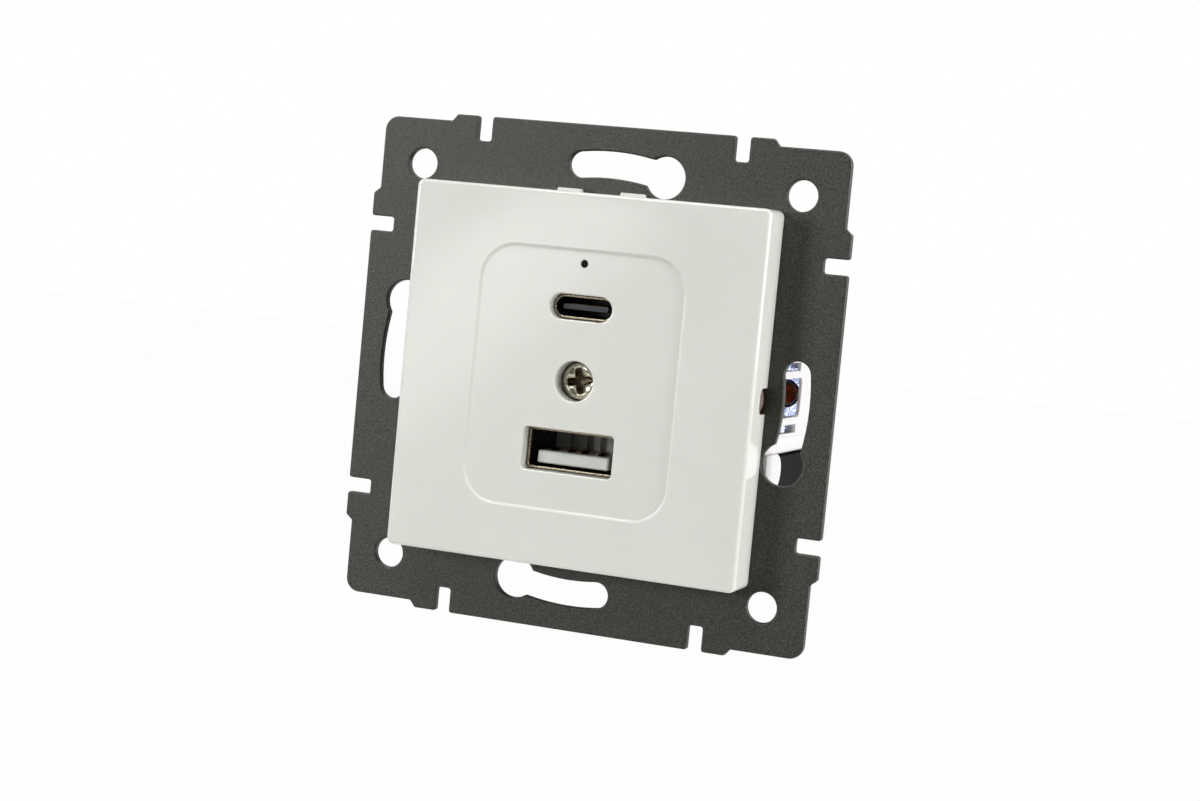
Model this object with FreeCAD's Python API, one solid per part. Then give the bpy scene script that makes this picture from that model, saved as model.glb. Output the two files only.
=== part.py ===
import FreeCAD, Part
import math
import os

# Flush-mounted USB wall socket with a square mounting plate, a white cover with one
# USB-C and one USB-A port, and a charger unit that sits in a round wall box.
# Millimetres. X runs right along the wall, Z runs up, and -Y points into the room.
# The origin is the centre of the mounting plate's rear face, which lies on the wall.

# Mounting plate, stamped steel sheet
plate_side = 71.0
plate_thickness = 1.0
corner_setback = 0.97        # how far the edges step back towards the corners
corner_zone = 11.3           # length of the stepped-back stretch at each corner
corner_step_run = 0.8        # length of the sloping step
plate_corner_radius = 2.0
plate_edge_radius = 0.4
punch_roll = 0.22            # rounding of the edges that the punch enters
notch_inset = 16.45          # from the plate's side to the notch's middle
notch_width = 2.1
notch_depth = 3.5
corner_hole_inset = 7.37
corner_hole_radius = 2.15
keyhole_centreline = 30.15   # radius of the box screws' circle
keyhole_width = 3.7
keyhole_end_angle = -7.6     # round end of each keyhole, degrees past its axis
keyhole_circle_angle = 16.1
keyhole_circle_radius = 2.95
keyhole_count = 4

# Front cover, white moulding
cover_screw_room = 0.9       # from a claw screw's head to the cover's side
cover_corner_room = 0.7      # from a plate screw's head to the cover's inner side
cover_height = 6.2
cover_corner_radius = 1.0
cover_edge_radius = 0.5
cover_wall = 1.5
cover_front_wall = 2.2
panel_width = 30.0
panel_height = 36.2
panel_radius = 5.0
panel_depth = 0.3
panel_slope = 0.3
lip_radius = 0.25
frame_tab_offset = 4.65
frame_tab_width = 3.7
frame_tab_thickness = 1.0
frame_tab_height = 0.5
frame_tab_lift = 1.2         # from the mounting plate to the tab
frame_tab_bevel = 0.2
side_notch_width = 3.6
side_notch_height = 3.0
side_notch_radius = 1.2

# Ports, light and screw on the cover's middle line
usb_a_z = -9.85
usb_c_z = 10.15
light_inset = 2.9            # from the platform's upper edge down to the light
light_hole_radius = 0.57
usb_a_shell_width = 13.1
usb_a_shell_height = 5.7
usb_a_shell_corner = 0.5
usb_a_setback = 2.0          # from the sunk panel back to the shell's rim
usb_c_shell_width = 8.94
usb_c_shell_height = 3.26
usb_c_setback = 1.6
shell_sheet = 0.3
shell_rim_radius = 0.1
port_gap = 0.12              # cover opening round a shell, each side
usb_a_cavity = 9.9
usb_a_tongue_width = 10.5
usb_a_tongue_thickness = 1.75
usb_a_tongue_drop = 0.35     # from the port's middle down to the tongue's top
usb_a_tongue_setback = 0.6
usb_a_block_gap = 0.05
usb_a_contact_width = 1.0
usb_a_contact_sheet = 0.25
usb_a_contact_places = (-3.5, -1.0, 1.0, 3.5)
usb_a_hump = 0.45
usb_a_slot_depth = 1.2
spring_offset = 3.0
spring_width = 2.2
spring_length = 5.6
spring_start = 2.6
spring_rise = 0.45
spring_gap = 0.15
usb_c_cavity = 7.4
usb_c_tongue_width = 6.6
usb_c_tongue_thickness = 0.7
usb_c_tongue_setback = 0.65
usb_c_mid_plate_sheet = 0.15
usb_c_mid_plate_side = 0.12  # how far the steel shows past the tongue's sides
usb_c_pad_width = 0.25
usb_c_pad_pitch = 0.5
usb_c_pad_count = 12
usb_c_pad_sheet = 0.06
usb_c_pad_length = 4.2
usb_c_pad_setback = 0.9

# Cover screw, insert and plate screws
cover_screw_sink = 2.2       # from the sunk panel down to the head
cover_screw_head_radius = 2.6
cover_screw_head_height = 1.9
cover_screw_head_gap = 0.2
cover_screw_length = 8.0
screw_thread_radius = 1.5
cover_boss_wall = 1.2
cover_boss_floor = 0.9
shank_hole_gap = 0.2
insert_radius = 2.1
insert_length = 6.0
insert_flange = 0.15         # air between the cover's boss and the insert's face
plate_screw_inset = 4.9      # from the platform's side to the screw's middle
plate_screw_offset = 2.7     # from the platform's upper edge to the screw's middle
plate_screw_head_radius = 1.9
plate_screw_head_height = 1.3
plate_screw_radius = 1.0
plate_screw_length = 3.4
drive_slot_width = 0.6
drive_slot_depth = 0.6
drive_cross_width = 1.1
drive_cross_round = 0.35     # radius at the corners of each arm
drive_cross_depth = 1.2
drive_cross_draft = 0.15     # from an arm's wall at the top in to its wall at the bottom
drive_rim = 0.75             # from an arm's end to the head's side
cover_screw_turn = -10.0     # degrees that the slot stands off level

# Front housing, white moulding behind the plate and through its opening
fit_gap = 0.3
platform_height = 38.2
plate_web = 0.7              # plate between the platform and a claw screw's hole
platform_radius = 2.0
platform_setback = 0.2       # from the cover's inner face
platform_wall = 1.6
flange_side_reach = 3.5      # from a claw screw's middle to the flange's side
flange_end_reach = 2.8       # from a plate screw's middle to the flange's end
flange_radius = 14.5
flange_thickness = 3.0
housing_wall = 1.6
well_wall = 1.0
post_wall = 1.6
well_clearance = 0.3
board_post_side_inset = 3.9
board_post_end_inset = 3.6
board_post_radius = 1.6

# Claw channels in the front housing's flanks
claw_x = 22.3                # claw screw's axis
channel_reach = 3.7          # from the claw screw's axis to the flank's face
channel_outer_z = 8.1
channel_wall = 0.5
channel_inner_wall = 1.0
channel_room_x = 2.9         # from the claw screw's axis to the inner side wall
channel_room_z = 5.3
channel_end = 30.0
channel_step_z = 5.6
channel_step = 0.8
channel_corner = 0.6
window_half_height = 2.75
window_start = 7.0
window_end = 16.8
window_radius = 0.9
arm_slot_end = 15.2
arm_slot_gap = 0.2
tongue_stand = 0.8           # how far a tongue stands out past the flange
tongue_sheet = 0.9
tongue_z = 10.1
tongue_half_width = 2.6
tongue_length = 7.8
tongue_edge_radius = 0.3
window_edge_radius = 0.15
catch_y = 5.8
catch_radius = 0.4

# Claw screws, nuts and claws
claw_head_radius = 2.7
claw_head_height = 2.0
claw_head_gap = 0.05
claw_boss_radius = 3.2
claw_boss_clearance = 0.2
claw_screw_length = 28.4
running_gap = 0.08
press_gap = 0.02
claw_foot_y = 21.65          # front face of the foot, claw slack
claw_sheet = 1.2
claw_foot_half_width = 2.65
claw_arm_sheet = 0.8
claw_arm_z = 4.0             # inner side of each arm
claw_arm_inner = 0.4         # from the screw's axis to the arm's inner edge
claw_arm_outer = 2.2
claw_arm_front = 7.0
claw_tooth_reach = 3.5
claw_tooth_pitch = 1.6
claw_tooth_count = 3
claw_hole_radius = 2.12
nut_collar_radius = 1.8
nut_gap = 0.9                # room behind the foot for the claw to tilt
nut_thickness = 1.7
nut_side_gap = 0.4
nut_half_width = 2.6

# Rear housing, black moulding
rear_depth = 32.0
rear_gap = 0.1
rear_inset = 0.4
rear_edge_radius = 1.2
notch_gap = 0.3

# Terminals at the lower rear
terminal_x = 6.5
terminal_inset = 5.6         # from the flange's lower end up to the terminals
cage_width = 7.2
cage_wall = 1.0
cage_depth = 5.0
cage_reach = 3.7             # from the cage's front end to the fixed bar
cage_height = 6.4
cage_tapped_wall = 1.3
bar_sheet = 1.2
bar_inset = 6.4              # from the fixed bar to the rear face
bar_side_gap = 0.2
bar_low_reach = 3.2
bar_high_reach = 6.5
terminal_head_radius = 2.4
terminal_head_height = 1.3
terminal_head_sink = 0.2
terminal_tip_gap = 0.05
wire_hole_radius = 2.1
divider_sheet = 1.2
divider_height = 7.0         # past the terminals' middle

# Circuit boards and what they carry
board_thickness = 1.6
socket_board_y = 8.8
power_board_y = 20.0
board_gap = 0.25
pin_hole_radius = 0.65
link_pin_radius = 0.35
link_pin_pitch = 2.54
link_pin_count = 6
link_pin_inset = 4.4         # from the flange's upper end
link_pin_tail = 0.8
core_width = 13.4
core_height = 12.4
core_depth = 5.0
core_leg = 1.7
core_yoke = 2.1
core_middle_leg = 3.6
transformer_side_gap = 1.8   # from the rear housing's inner side
transformer_z = 3.0
winding_depth = 8.4
winding_width = 9.6
winding_gap = 0.1
input_capacitor_radius = 4.0
input_capacitor_length = 12.0
input_capacitor_side_gap = 3.0
input_capacitor_z = 4.0
output_capacitor_radius = 3.15
output_capacitor_length = 11.0
output_capacitor_start = -13.5
output_capacitor_offset = 5.4   # below the link pins
can_edge_radius = 0.5
light_pipe_radius = 1.1
light_pipe_tip_length = 1.3
light_pipe_sink = 0.5        # from the sunk panel back to the pipe's tip
led_height = 0.9
led_side = 2.0
small_part_inset = 2.5       # from the rear housing's inner side
interference_radius = 4.0
interference_thickness = 3.2
interference_edge = 1.2
interference_z = 3.0
fuse_radius = 1.8
fuse_length = 9.0
fuse_z = -13.0
chip_height = 1.6
chip_bevel = 0.25
chip_mark_radius = 0.35
chip_mark_inset = 0.9
controller_place = (-9.0, -2.0)
controller_size = (5.0, 5.0)
switch_place = (0.0, -5.0)
switch_size = (5.0, 4.0)
rectifier_size = (4.8, 4.0)
rectifier_offset = 3.7       # below the link pins

# Places and sizes that follow from those above
corner_hole_offset = plate_side / 2 - corner_hole_inset
notch_offset = plate_side / 2 - notch_inset
corner_zone_start = plate_side / 2 - corner_zone
platform_width = 2 * (claw_x - claw_boss_radius - claw_boss_clearance - plate_web - fit_gap)
plate_screw_x = platform_width / 2 - plate_screw_inset
plate_screw_z = platform_height / 2 + plate_screw_offset
flange_width = 2 * (claw_x + flange_side_reach)
flange_height = 2 * (plate_screw_z + flange_end_reach)
cover_half_width = claw_x + claw_head_radius + cover_screw_room
cover_half_height = plate_screw_z + plate_screw_head_radius + cover_corner_room + cover_wall
cover_side = 2 * max(cover_half_width, cover_half_height)
light_z = platform_height / 2 - light_inset
board_post_x = platform_width / 2 - board_post_side_inset
board_post_z = platform_height / 2 - board_post_end_inset
channel_outer_x = claw_x + channel_reach
tongue_outer_x = flange_width / 2 + tongue_stand
terminal_z = terminal_inset - flange_height / 2
divider_z = terminal_z + divider_height
link_pin_z = flange_height / 2 - link_pin_inset
rear_inner_x = claw_x - channel_room_x - channel_inner_wall - notch_gap - housing_wall
transformer_x = rear_inner_x - core_width / 2 - transformer_side_gap
input_capacitor_x = rear_inner_x - input_capacitor_radius - input_capacitor_side_gap
output_capacitor_z = link_pin_z - output_capacitor_offset
plate_front = -plate_thickness
cover_face = plate_front - cover_height
panel_face = cover_face + panel_depth
cover_inner = cover_face + cover_front_wall
platform_front = cover_inner + platform_setback
platform_back = platform_front + platform_wall
usb_a_rim = panel_face + usb_a_setback
usb_c_rim = panel_face + usb_c_setback
usb_a_floor = usb_a_rim + usb_a_cavity
usb_c_floor = usb_c_rim + usb_c_cavity
usb_a_tongue_top = usb_a_z - usb_a_tongue_drop
cover_head_top = panel_face + cover_screw_sink
cover_head_seat = cover_head_top + cover_screw_head_height
cover_boss_end = cover_head_seat + cover_boss_floor
insert_face = cover_boss_end + insert_flange
channel_inner_x = claw_x - channel_room_x
arm_half_height = claw_arm_z + claw_arm_sheet
bar_y = rear_depth - bar_inset
cage_front = bar_y - cage_reach
cage_back = cage_front + cage_height
rear_inner = rear_depth - housing_wall
V = FreeCAD.Vector


def outline(corners, place):
    """Closed wire through (u, v, radius) corners; tangent arcs round the corners."""
    points = [place(u, v) for u, v, radius in corners]
    starts, arcs, ends = [], [], []
    for index, (u, v, radius) in enumerate(corners):
        here = points[index]
        to_last = (points[index - 1] - here).normalize()
        to_next = (points[(index + 1) % len(points)] - here).normalize()
        half = to_last.getAngle(to_next) / 2
        setback = radius / math.tan(half)
        starts.append(here + to_last * setback)
        ends.append(here + to_next * setback)
        if radius > 0:
            middle = (to_last + to_next).normalize()
            crown = here + middle * (radius / math.sin(half) - radius)
            arcs.append(Part.Arc(starts[-1], crown, ends[-1]).toShape())
        else:
            arcs.append(None)
    edges = []
    for index, arc in enumerate(arcs):
        if arc:
            edges.append(arc)
        following = starts[(index + 1) % len(starts)]
        if ends[index].distanceToPoint(following) > 1e-6:
            edges.append(Part.makeLine(ends[index], following))
    return Part.Wire(Part.__sortEdges__(edges))


def along_y(corners, y_start, y_end):
    wire = outline(corners, lambda x, z: V(x, y_start, z))
    return Part.Face(wire).extrude(V(0, y_end - y_start, 0))


def along_x(corners, x_start, x_end):
    wire = outline(corners, lambda y, z: V(x_start, y, z))
    return Part.Face(wire).extrude(V(x_end - x_start, 0, 0))


def along_z(corners, z_start, z_end):
    wire = outline(corners, lambda x, y: V(x, y, z_start))
    return Part.Face(wire).extrude(V(0, 0, z_end - z_start))


def rectangle(width, height, radius, u=0.0, v=0.0):
    """Corners of a rounded rectangle about (u, v)."""
    a, b = width / 2, height / 2
    return [(u - a, v - b, radius), (u + a, v - b, radius),
            (u + a, v + b, radius), (u - a, v + b, radius)]


def box(x_start, x_end, y_start, y_end, z_start, z_end):
    size = (x_end - x_start, y_end - y_start, z_end - z_start)
    return Part.makeBox(*size, V(x_start, y_start, z_start))


def rod(x, z, radius, y_start, y_end):
    return Part.makeCylinder(radius, y_end - y_start, V(x, y_start, z), V(0, 1, 0))


def mirrored(shape):
    """The same piece on the other side of the middle line."""
    return shape.mirror(V(0, 0, 0), V(1, 0, 0))


def both_sides(shape):
    return [shape, mirrored(shape)]


def fused(shapes):
    return shapes[0].multiFuse(shapes[1:]).removeSplitter()


def edges_where(shape, test):
    """Edges whose both ends and middle pass a test of the point."""
    chosen = []
    for edge in shape.Edges:
        middle = edge.valueAt((edge.FirstParameter + edge.LastParameter) / 2)
        if all(test(point) for point in [v.Point for v in edge.Vertexes] + [middle]):
            chosen.append(edge)
    return chosen


def at_level(y):
    return lambda point: abs(point.y - y) < 1e-4


def drive_recess(head_radius, top, turn):
    """Slot and cross sunk into a screw head at level top, turned about the screw."""
    half = drive_slot_width / 2
    slot = box(-2 * head_radius, 2 * head_radius, top - 1, top + drive_slot_depth, -half, half)

    def arm_wire(draft, y):
        length = 2 * (head_radius - drive_rim - draft)
        corners = rectangle(length, drive_cross_width - 2 * draft, drive_cross_round)
        return outline(corners, lambda x, z: V(x, y, z))

    arm = Part.makeLoft([arm_wire(0.0, top - 0.01), arm_wire(drive_cross_draft, top + drive_cross_depth)],
                        True, True)
    across = arm.copy().rotate(V(0, 0, 0), V(0, 1, 0), 90)
    return fused([slot, arm, across]).rotate(V(0, 0, 0), V(0, 1, 0), turn)


def headed_screw(head_radius, head_height, head_top, radius, tip, turn=0.0):
    """Screw along +Y on the origin's line, its rounded head's top at head_top."""
    seat = head_top + head_height
    head = rod(0, 0, head_radius, head_top, seat)
    head = head.makeFillet(0.3 * head_height, edges_where(head, at_level(head_top)))
    shank = rod(0, 0, radius, seat, tip)
    shank = shank.makeChamfer(0.3 * radius, edges_where(shank, at_level(tip)))
    return fused([head, shank]).cut(drive_recess(head_radius, head_top, turn))


def plate_side_corners():
    """The plate's top edge from left to right, with its steps and two notches."""
    edge = plate_side / 2
    low = edge - corner_setback
    floor = edge - notch_depth
    step_end = corner_zone_start - corner_step_run
    inner = notch_offset - notch_width / 2
    outer = notch_offset + notch_width / 2
    r = plate_edge_radius
    right = [(inner, edge, r), (inner, floor, r), (outer, floor, r), (outer, edge, r),
             (step_end, edge, r), (corner_zone_start, low, r), (low, low, plate_corner_radius)]
    left = [(-x, z, radius) for x, z, radius in reversed(right[:-1])]
    return left + right


def turned(corners, quarter):
    """Corners turned clockwise by quarter turns, as seen from the room."""
    for step in range(quarter):
        corners = [(z, -x, radius) for x, z, radius in corners]
    return corners


def keyhole():
    """One curved slot about the origin with its round screw entry."""
    half = keyhole_width / 2
    low, high = keyhole_centreline - half, keyhole_centreline + half
    start = math.radians(90 - keyhole_end_angle)
    end = math.radians(90 - keyhole_circle_angle)
    back, front = plate_front - 1, 1

    def at(radius, angle):
        return V(radius * math.cos(angle), back, radius * math.sin(angle))

    middle = (start + end) / 2
    tip = at(keyhole_centreline, start) + V(-half * math.sin(start), 0, half * math.cos(start))
    edges = [Part.Arc(at(low, end), at(low, middle), at(low, start)).toShape(),
             Part.Arc(at(low, start), tip, at(high, start)).toShape(),
             Part.Arc(at(high, start), at(high, middle), at(high, end)).toShape(),
             Part.makeLine(at(high, end), at(low, end))]
    slot = Part.Face(Part.Wire(edges)).extrude(V(0, front - back, 0))
    centre = at(keyhole_centreline, end)
    return slot.fuse(rod(centre.x, centre.z, keyhole_circle_radius, back, front))


def mounting_plate():
    corners = []
    for quarter in range(4):
        corners += turned(plate_side_corners(), quarter)
    plate = along_y(corners, plate_front, 0)
    opening = rectangle(platform_width + 2 * fit_gap, platform_height + 2 * fit_gap,
                        platform_radius + fit_gap)
    cuts = [along_y(opening, plate_front - 1, 1)]
    for index in range(keyhole_count):
        cuts.append(keyhole().rotate(V(0, 0, 0), V(0, 1, 0), 360 / keyhole_count * index))
    for x in (-corner_hole_offset, corner_hole_offset):
        for z in (-corner_hole_offset, corner_hole_offset):
            cuts.append(rod(x, z, corner_hole_radius, plate_front - 1, 1))
    for x in (-claw_x, claw_x):
        cuts.append(rod(x, 0, claw_boss_radius + claw_boss_clearance, plate_front - 1, 1))
    for x, z in plate_screw_places():
        cuts.append(rod(x, z, plate_screw_radius + shank_hole_gap, plate_front - 1, 1))
    plate = plate.cut(cuts)
    neck = edges_where(plate, lambda p: is_keyhole_neck(p.x, p.z))
    plate = plate.makeFillet(plate_edge_radius, neck)
    return plate.makeFillet(punch_roll, edges_where(plate, at_level(plate_front)))


def is_keyhole_neck(x, z):
    """Whether a point lies on the sharp corner between a slot and its round entry."""
    angle = math.radians(90 - keyhole_circle_angle)
    for index in range(keyhole_count):
        turn = angle - math.radians(360 / keyhole_count * index)
        centre_x = keyhole_centreline * math.cos(turn)
        centre_z = keyhole_centreline * math.sin(turn)
        on_circle = abs(math.hypot(x - centre_x, z - centre_z) - keyhole_circle_radius) < 1e-3
        reach = abs(math.hypot(x, z) - keyhole_centreline)
        if on_circle and abs(reach - keyhole_width / 2) < 1e-3:
            return True
    return False


def plate_screw_places():
    return [(x, z) for x in (-plate_screw_x, plate_screw_x) for z in (-plate_screw_z, plate_screw_z)]


def usb_a_opening(gap, y_start, y_end):
    corners = rectangle(usb_a_shell_width + 2 * gap, usb_a_shell_height + 2 * gap,
                        usb_a_shell_corner + gap, 0, usb_a_z)
    return along_y(corners, y_start, y_end)


def usb_c_opening(gap, y_start, y_end):
    height = usb_c_shell_height + 2 * gap
    corners = rectangle(usb_c_shell_width + 2 * gap, height, height / 2 - 0.001, 0, usb_c_z)
    return along_y(corners, y_start, y_end)


def front_cover():
    half = cover_side / 2
    shell = along_y(rectangle(cover_side, cover_side, cover_corner_radius), cover_face, plate_front)
    shell = shell.makeFillet(cover_edge_radius, edges_where(shell, at_level(cover_face)))
    room_side = cover_side - 2 * cover_wall
    room = along_y(rectangle(room_side, room_side, cover_corner_radius), cover_inner, plate_front + 1)
    sink_outer = outline(rectangle(panel_width + panel_slope, panel_height + panel_slope,
                                   panel_radius + panel_slope / 2), lambda x, z: V(x, cover_face, z))
    sink_inner = outline(rectangle(panel_width - panel_slope, panel_height - panel_slope,
                                   panel_radius - panel_slope / 2), lambda x, z: V(x, panel_face, z))
    sink = Part.makeLoft([sink_outer, sink_inner], True, True)
    head_room = cover_screw_head_radius + cover_screw_head_gap
    boss = rod(0, 0, head_room + cover_boss_wall, cover_inner, cover_boss_end)
    shell = shell.cut([room, sink]).fuse(boss)
    cuts = [rod(0, 0, head_room, cover_face - 1, cover_head_seat),
            rod(0, 0, screw_thread_radius + shank_hole_gap, cover_face - 1, cover_boss_end + 1),
            usb_a_opening(port_gap, cover_face - 1, cover_inner + 1),
            usb_c_opening(port_gap, cover_face - 1, cover_inner + 1),
            rod(0, light_z, light_hole_radius, cover_face - 1, cover_inner + 1),
            rod(0, light_z, light_pipe_radius + port_gap, panel_face + light_pipe_tip_length,
                cover_inner + 1)]
    notch_top = plate_front - side_notch_height
    notch = [(notch_top, -side_notch_width / 2, side_notch_radius),
             (notch_top, side_notch_width / 2, side_notch_radius),
             (0, side_notch_width / 2, 0), (0, -side_notch_width / 2, 0)]
    cuts += both_sides(along_x(notch, half - cover_wall - 1, half + 1))
    shell = shell.cut(cuts)

    def is_port_lip(point):
        on_panel = abs(point.y - panel_face) < 1e-4
        near_port = abs(point.x) < usb_a_shell_width and abs(point.z - light_z) > 1
        return on_panel and near_port

    shell = shell.makeFillet(lip_radius, edges_where(shell, is_port_lip))
    tabs = []
    for side in (-1, 1):
        for x in (-frame_tab_offset, frame_tab_offset):
            base, tip = side * (half - 0.1), side * (half + frame_tab_height)
            a, b = frame_tab_width / 2, frame_tab_width / 2 - frame_tab_bevel
            corners = [(x - a, base, 0), (x + a, base, 0), (x + b, tip, 0), (x - b, tip, 0)]
            top = plate_front - frame_tab_lift
            tabs.append(along_y(corners, top - frame_tab_thickness, top))
    return fused([shell] + tabs)


def cover_screw():
    tip = cover_head_seat + cover_screw_length
    return headed_screw(cover_screw_head_radius, cover_screw_head_height, cover_head_top,
                        screw_thread_radius, tip, cover_screw_turn)


def cover_screw_insert():
    sleeve = rod(0, 0, insert_radius, insert_face, insert_face + insert_length)
    groove_y = insert_face + insert_length / 2
    groove = rod(0, 0, insert_radius + 1, groove_y - 0.4, groove_y + 0.4)
    groove = groove.cut(rod(0, 0, insert_radius - 0.3, groove_y - 1, groove_y + 1))
    bore = rod(0, 0, screw_thread_radius + running_gap, insert_face - 1, insert_face + insert_length + 1)
    return sleeve.cut([groove, bore])


def plate_screws():
    top = plate_front - plate_screw_head_height
    screw = headed_screw(plate_screw_head_radius, plate_screw_head_height, top,
                         plate_screw_radius, plate_front + plate_screw_length)
    screws = []
    for x, z in plate_screw_places():
        copy = screw.copy()
        copy.translate(V(x, 0, z))
        screws.append(copy)
    return Part.makeCompound(screws)


def claw_channel():
    """Box-shaped channel on the right flank that houses one claw."""
    start = flange_thickness - 0.01
    inner_x = channel_inner_x - channel_inner_wall
    step_x = channel_outer_x - channel_step
    profile = [(inner_x, -channel_outer_z, 0), (step_x, -channel_outer_z, channel_corner),
               (step_x, -channel_step_z, 0), (channel_outer_x, -channel_step_z, channel_corner / 2),
               (channel_outer_x, channel_step_z, channel_corner / 2), (step_x, channel_step_z, 0),
               (step_x, channel_outer_z, channel_corner), (inner_x, channel_outer_z, 0)]
    body = along_y(profile, start, channel_end)
    room = box(channel_inner_x, channel_outer_x - channel_wall, flange_thickness,
               channel_end + 1, -channel_room_z, channel_room_z)
    wall_x = (channel_outer_x - channel_wall - 0.5, channel_outer_x + 1)
    window = along_x([(window_start, -window_half_height, window_radius),
                      (window_end, -window_half_height, window_radius),
                      (window_end, window_half_height, window_radius),
                      (window_start, window_half_height, window_radius)], *wall_x)
    slots = []
    for side in (-1, 1):
        near = side * (claw_arm_z - arm_slot_gap)
        far = side * (arm_half_height + arm_slot_gap)
        slots.append(box(wall_x[0], wall_x[1], flange_thickness, arm_slot_end,
                         min(near, far), max(near, far)))
    body = body.cut([room, window] + slots)

    def is_window_rim(point):
        on_face = abs(point.x - channel_outer_x) < 1e-4
        return on_face and abs(point.z) < window_half_height + 1e-4 and point.y < window_end + 1e-4

    return body.makeFillet(window_edge_radius, edges_where(body, is_window_rim))


def snap_tongue(z):
    """Rounded tongue that reaches back over the rear housing's right side."""
    low, high = z - tongue_half_width, z + tongue_half_width
    r = tongue_half_width - 0.001
    corners = [(0, low, 0), (tongue_length, low, r), (tongue_length, high, r), (0, high, 0)]
    inner = tongue_outer_x - tongue_sheet
    tongue = along_x(corners, inner, tongue_outer_x)
    rim = edges_where(tongue, lambda p: abs(p.x - tongue_outer_x) < 1e-4 and p.y > 0.01)
    tongue = tongue.makeFillet(tongue_edge_radius, rim)
    catch = Part.makeCylinder(catch_radius, tongue_half_width, V(inner, catch_y, z - tongue_half_width / 2),
                              V(0, 0, 1))
    root = box(flange_width / 2 - 1, tongue_outer_x, 0, flange_thickness, low, high)
    return tongue.fuse([catch, root])


def front_housing():
    flange = along_y(rectangle(flange_width, flange_height, flange_radius), 0, flange_thickness)
    platform = along_y(rectangle(platform_width, platform_height, platform_radius), platform_front, 0.01)
    platform = platform.makeFillet(0.5, edges_where(platform, at_level(platform_front)))
    solid = flange.fuse([platform] + both_sides(claw_channel()))
    for x in (-claw_x, claw_x):
        solid = solid.fuse(rod(x, 0, claw_boss_radius, claw_head_seat(), 0.01))
    for z in (-tongue_z, tongue_z):
        solid = solid.fuse(both_sides(snap_tongue(z)))
    room = along_y(rectangle(platform_width - 2 * housing_wall, platform_height - 2 * housing_wall,
                             platform_radius), platform_back, flange_thickness + 1)
    solid = solid.cut(room)
    boss_radius = cover_screw_head_radius + cover_screw_head_gap + cover_boss_wall
    well_radius = boss_radius + well_clearance
    additions = [rod(0, 0, well_radius + well_wall, platform_front + 0.1, insert_face + well_wall),
                 rod(0, 0, insert_radius + post_wall, insert_face, insert_face + insert_length + 1)]
    for x in (-board_post_x, board_post_x):
        for z in (-board_post_z, board_post_z):
            additions.append(rod(x, z, board_post_radius, platform_back - 0.1, socket_board_y))
    solid = solid.fuse(additions)
    cuts = [rod(0, 0, well_radius, platform_front - 1, insert_face),
            rod(0, 0, insert_radius + press_gap, insert_face - 1, insert_face + insert_length),
            rod(0, 0, screw_thread_radius + shank_hole_gap, insert_face, insert_face + insert_length + 2),
            usb_a_opening(port_gap, platform_front - 1, platform_back + 1),
            usb_c_opening(port_gap, platform_front - 1, platform_back + 1),
            rod(0, light_z, light_pipe_radius + port_gap, platform_front - 1, platform_back + 1)]
    for x in (-claw_x, claw_x):
        cuts.append(rod(x, 0, screw_thread_radius + running_gap, claw_head_seat() - 1,
                        flange_thickness + 1))
    for x, z in plate_screw_places():
        cuts.append(rod(x, z, plate_screw_radius + press_gap, -1, flange_thickness + 1))
    return solid.cut(cuts).removeSplitter()


def claw_head_seat():
    """Level of the boss that a claw screw's head bears on."""
    return plate_front + 0.1


def rear_block(inset, y_start, y_end):
    """Rounded block inside the rear housing's outline, notched for the claw channels."""
    cut_back = 2 * (rear_inset + inset)
    block = along_y(rectangle(flange_width - cut_back, flange_height - cut_back,
                              flange_radius - cut_back / 2), y_start, y_end)
    if inset == 0:
        block = block.makeFillet(rear_edge_radius, edges_where(block, at_level(y_end)))
    notch_x = channel_inner_x - channel_inner_wall - notch_gap - inset
    notch_z = channel_outer_z + notch_gap + inset
    notch = box(notch_x, flange_width, y_start - 1, y_end + 1, -notch_z, notch_z)
    return block.cut(both_sides(notch))


def rear_housing():
    start = flange_thickness + rear_gap
    body = rear_block(0, start, rear_depth)
    body = body.cut(rear_block(housing_wall, start - 1, rear_inner))
    low = -flange_height / 2 + rear_inset
    board_back = power_board_y + board_thickness
    additions = [box(-divider_sheet / 2, divider_sheet / 2, board_back, rear_inner + 0.1,
                     low + 0.1, divider_z)]
    for x in (-board_post_x, board_post_x):
        for z in (-board_post_z, board_post_z):
            additions.append(rod(x, z, board_post_radius, board_back, rear_inner + 0.1))
    body = fused([body] + additions)
    wire_y = (cage_front + cage_wall + bar_y) / 2
    cuts = []
    for x in (-terminal_x, terminal_x):
        cuts.append(Part.makeCylinder(wire_hole_radius, housing_wall + 2, V(x, wire_y, low - 1), V(0, 0, 1)))
        cuts.append(rod(x, terminal_z, terminal_head_radius + running_gap, rear_inner - 1, rear_depth + 1))
    for z in (-tongue_z, tongue_z):
        groove = Part.makeCylinder(catch_radius + 0.1, tongue_half_width + 0.2,
                                   V(tongue_outer_x - tongue_sheet, catch_y,
                                     z - tongue_half_width / 2 - 0.1), V(0, 0, 1))
        cuts += both_sides(groove)
    return body.cut(cuts)


def claw_screw():
    top = claw_head_seat() - claw_head_gap - claw_head_height
    screw = headed_screw(claw_head_radius, claw_head_height, top, screw_thread_radius,
                         claw_head_seat() + claw_screw_length)
    screw.translate(V(claw_x, 0, 0))
    return screw


def claw_nut():
    """Rectangular nut behind the claw's foot, with a collar through the foot's hole."""
    start = claw_foot_y + claw_sheet + nut_gap
    half_z = claw_arm_z - nut_side_gap
    plate = box(claw_x - nut_half_width, claw_x + nut_half_width, start, start + nut_thickness,
                -half_z, half_z)
    collar = rod(claw_x, 0, nut_collar_radius, claw_foot_y + 0.1, start + 0.1)
    bore = rod(claw_x, 0, screw_thread_radius + running_gap, claw_foot_y - 1, start + nut_thickness + 1)
    return fused([plate, collar]).cut(bore)


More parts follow.
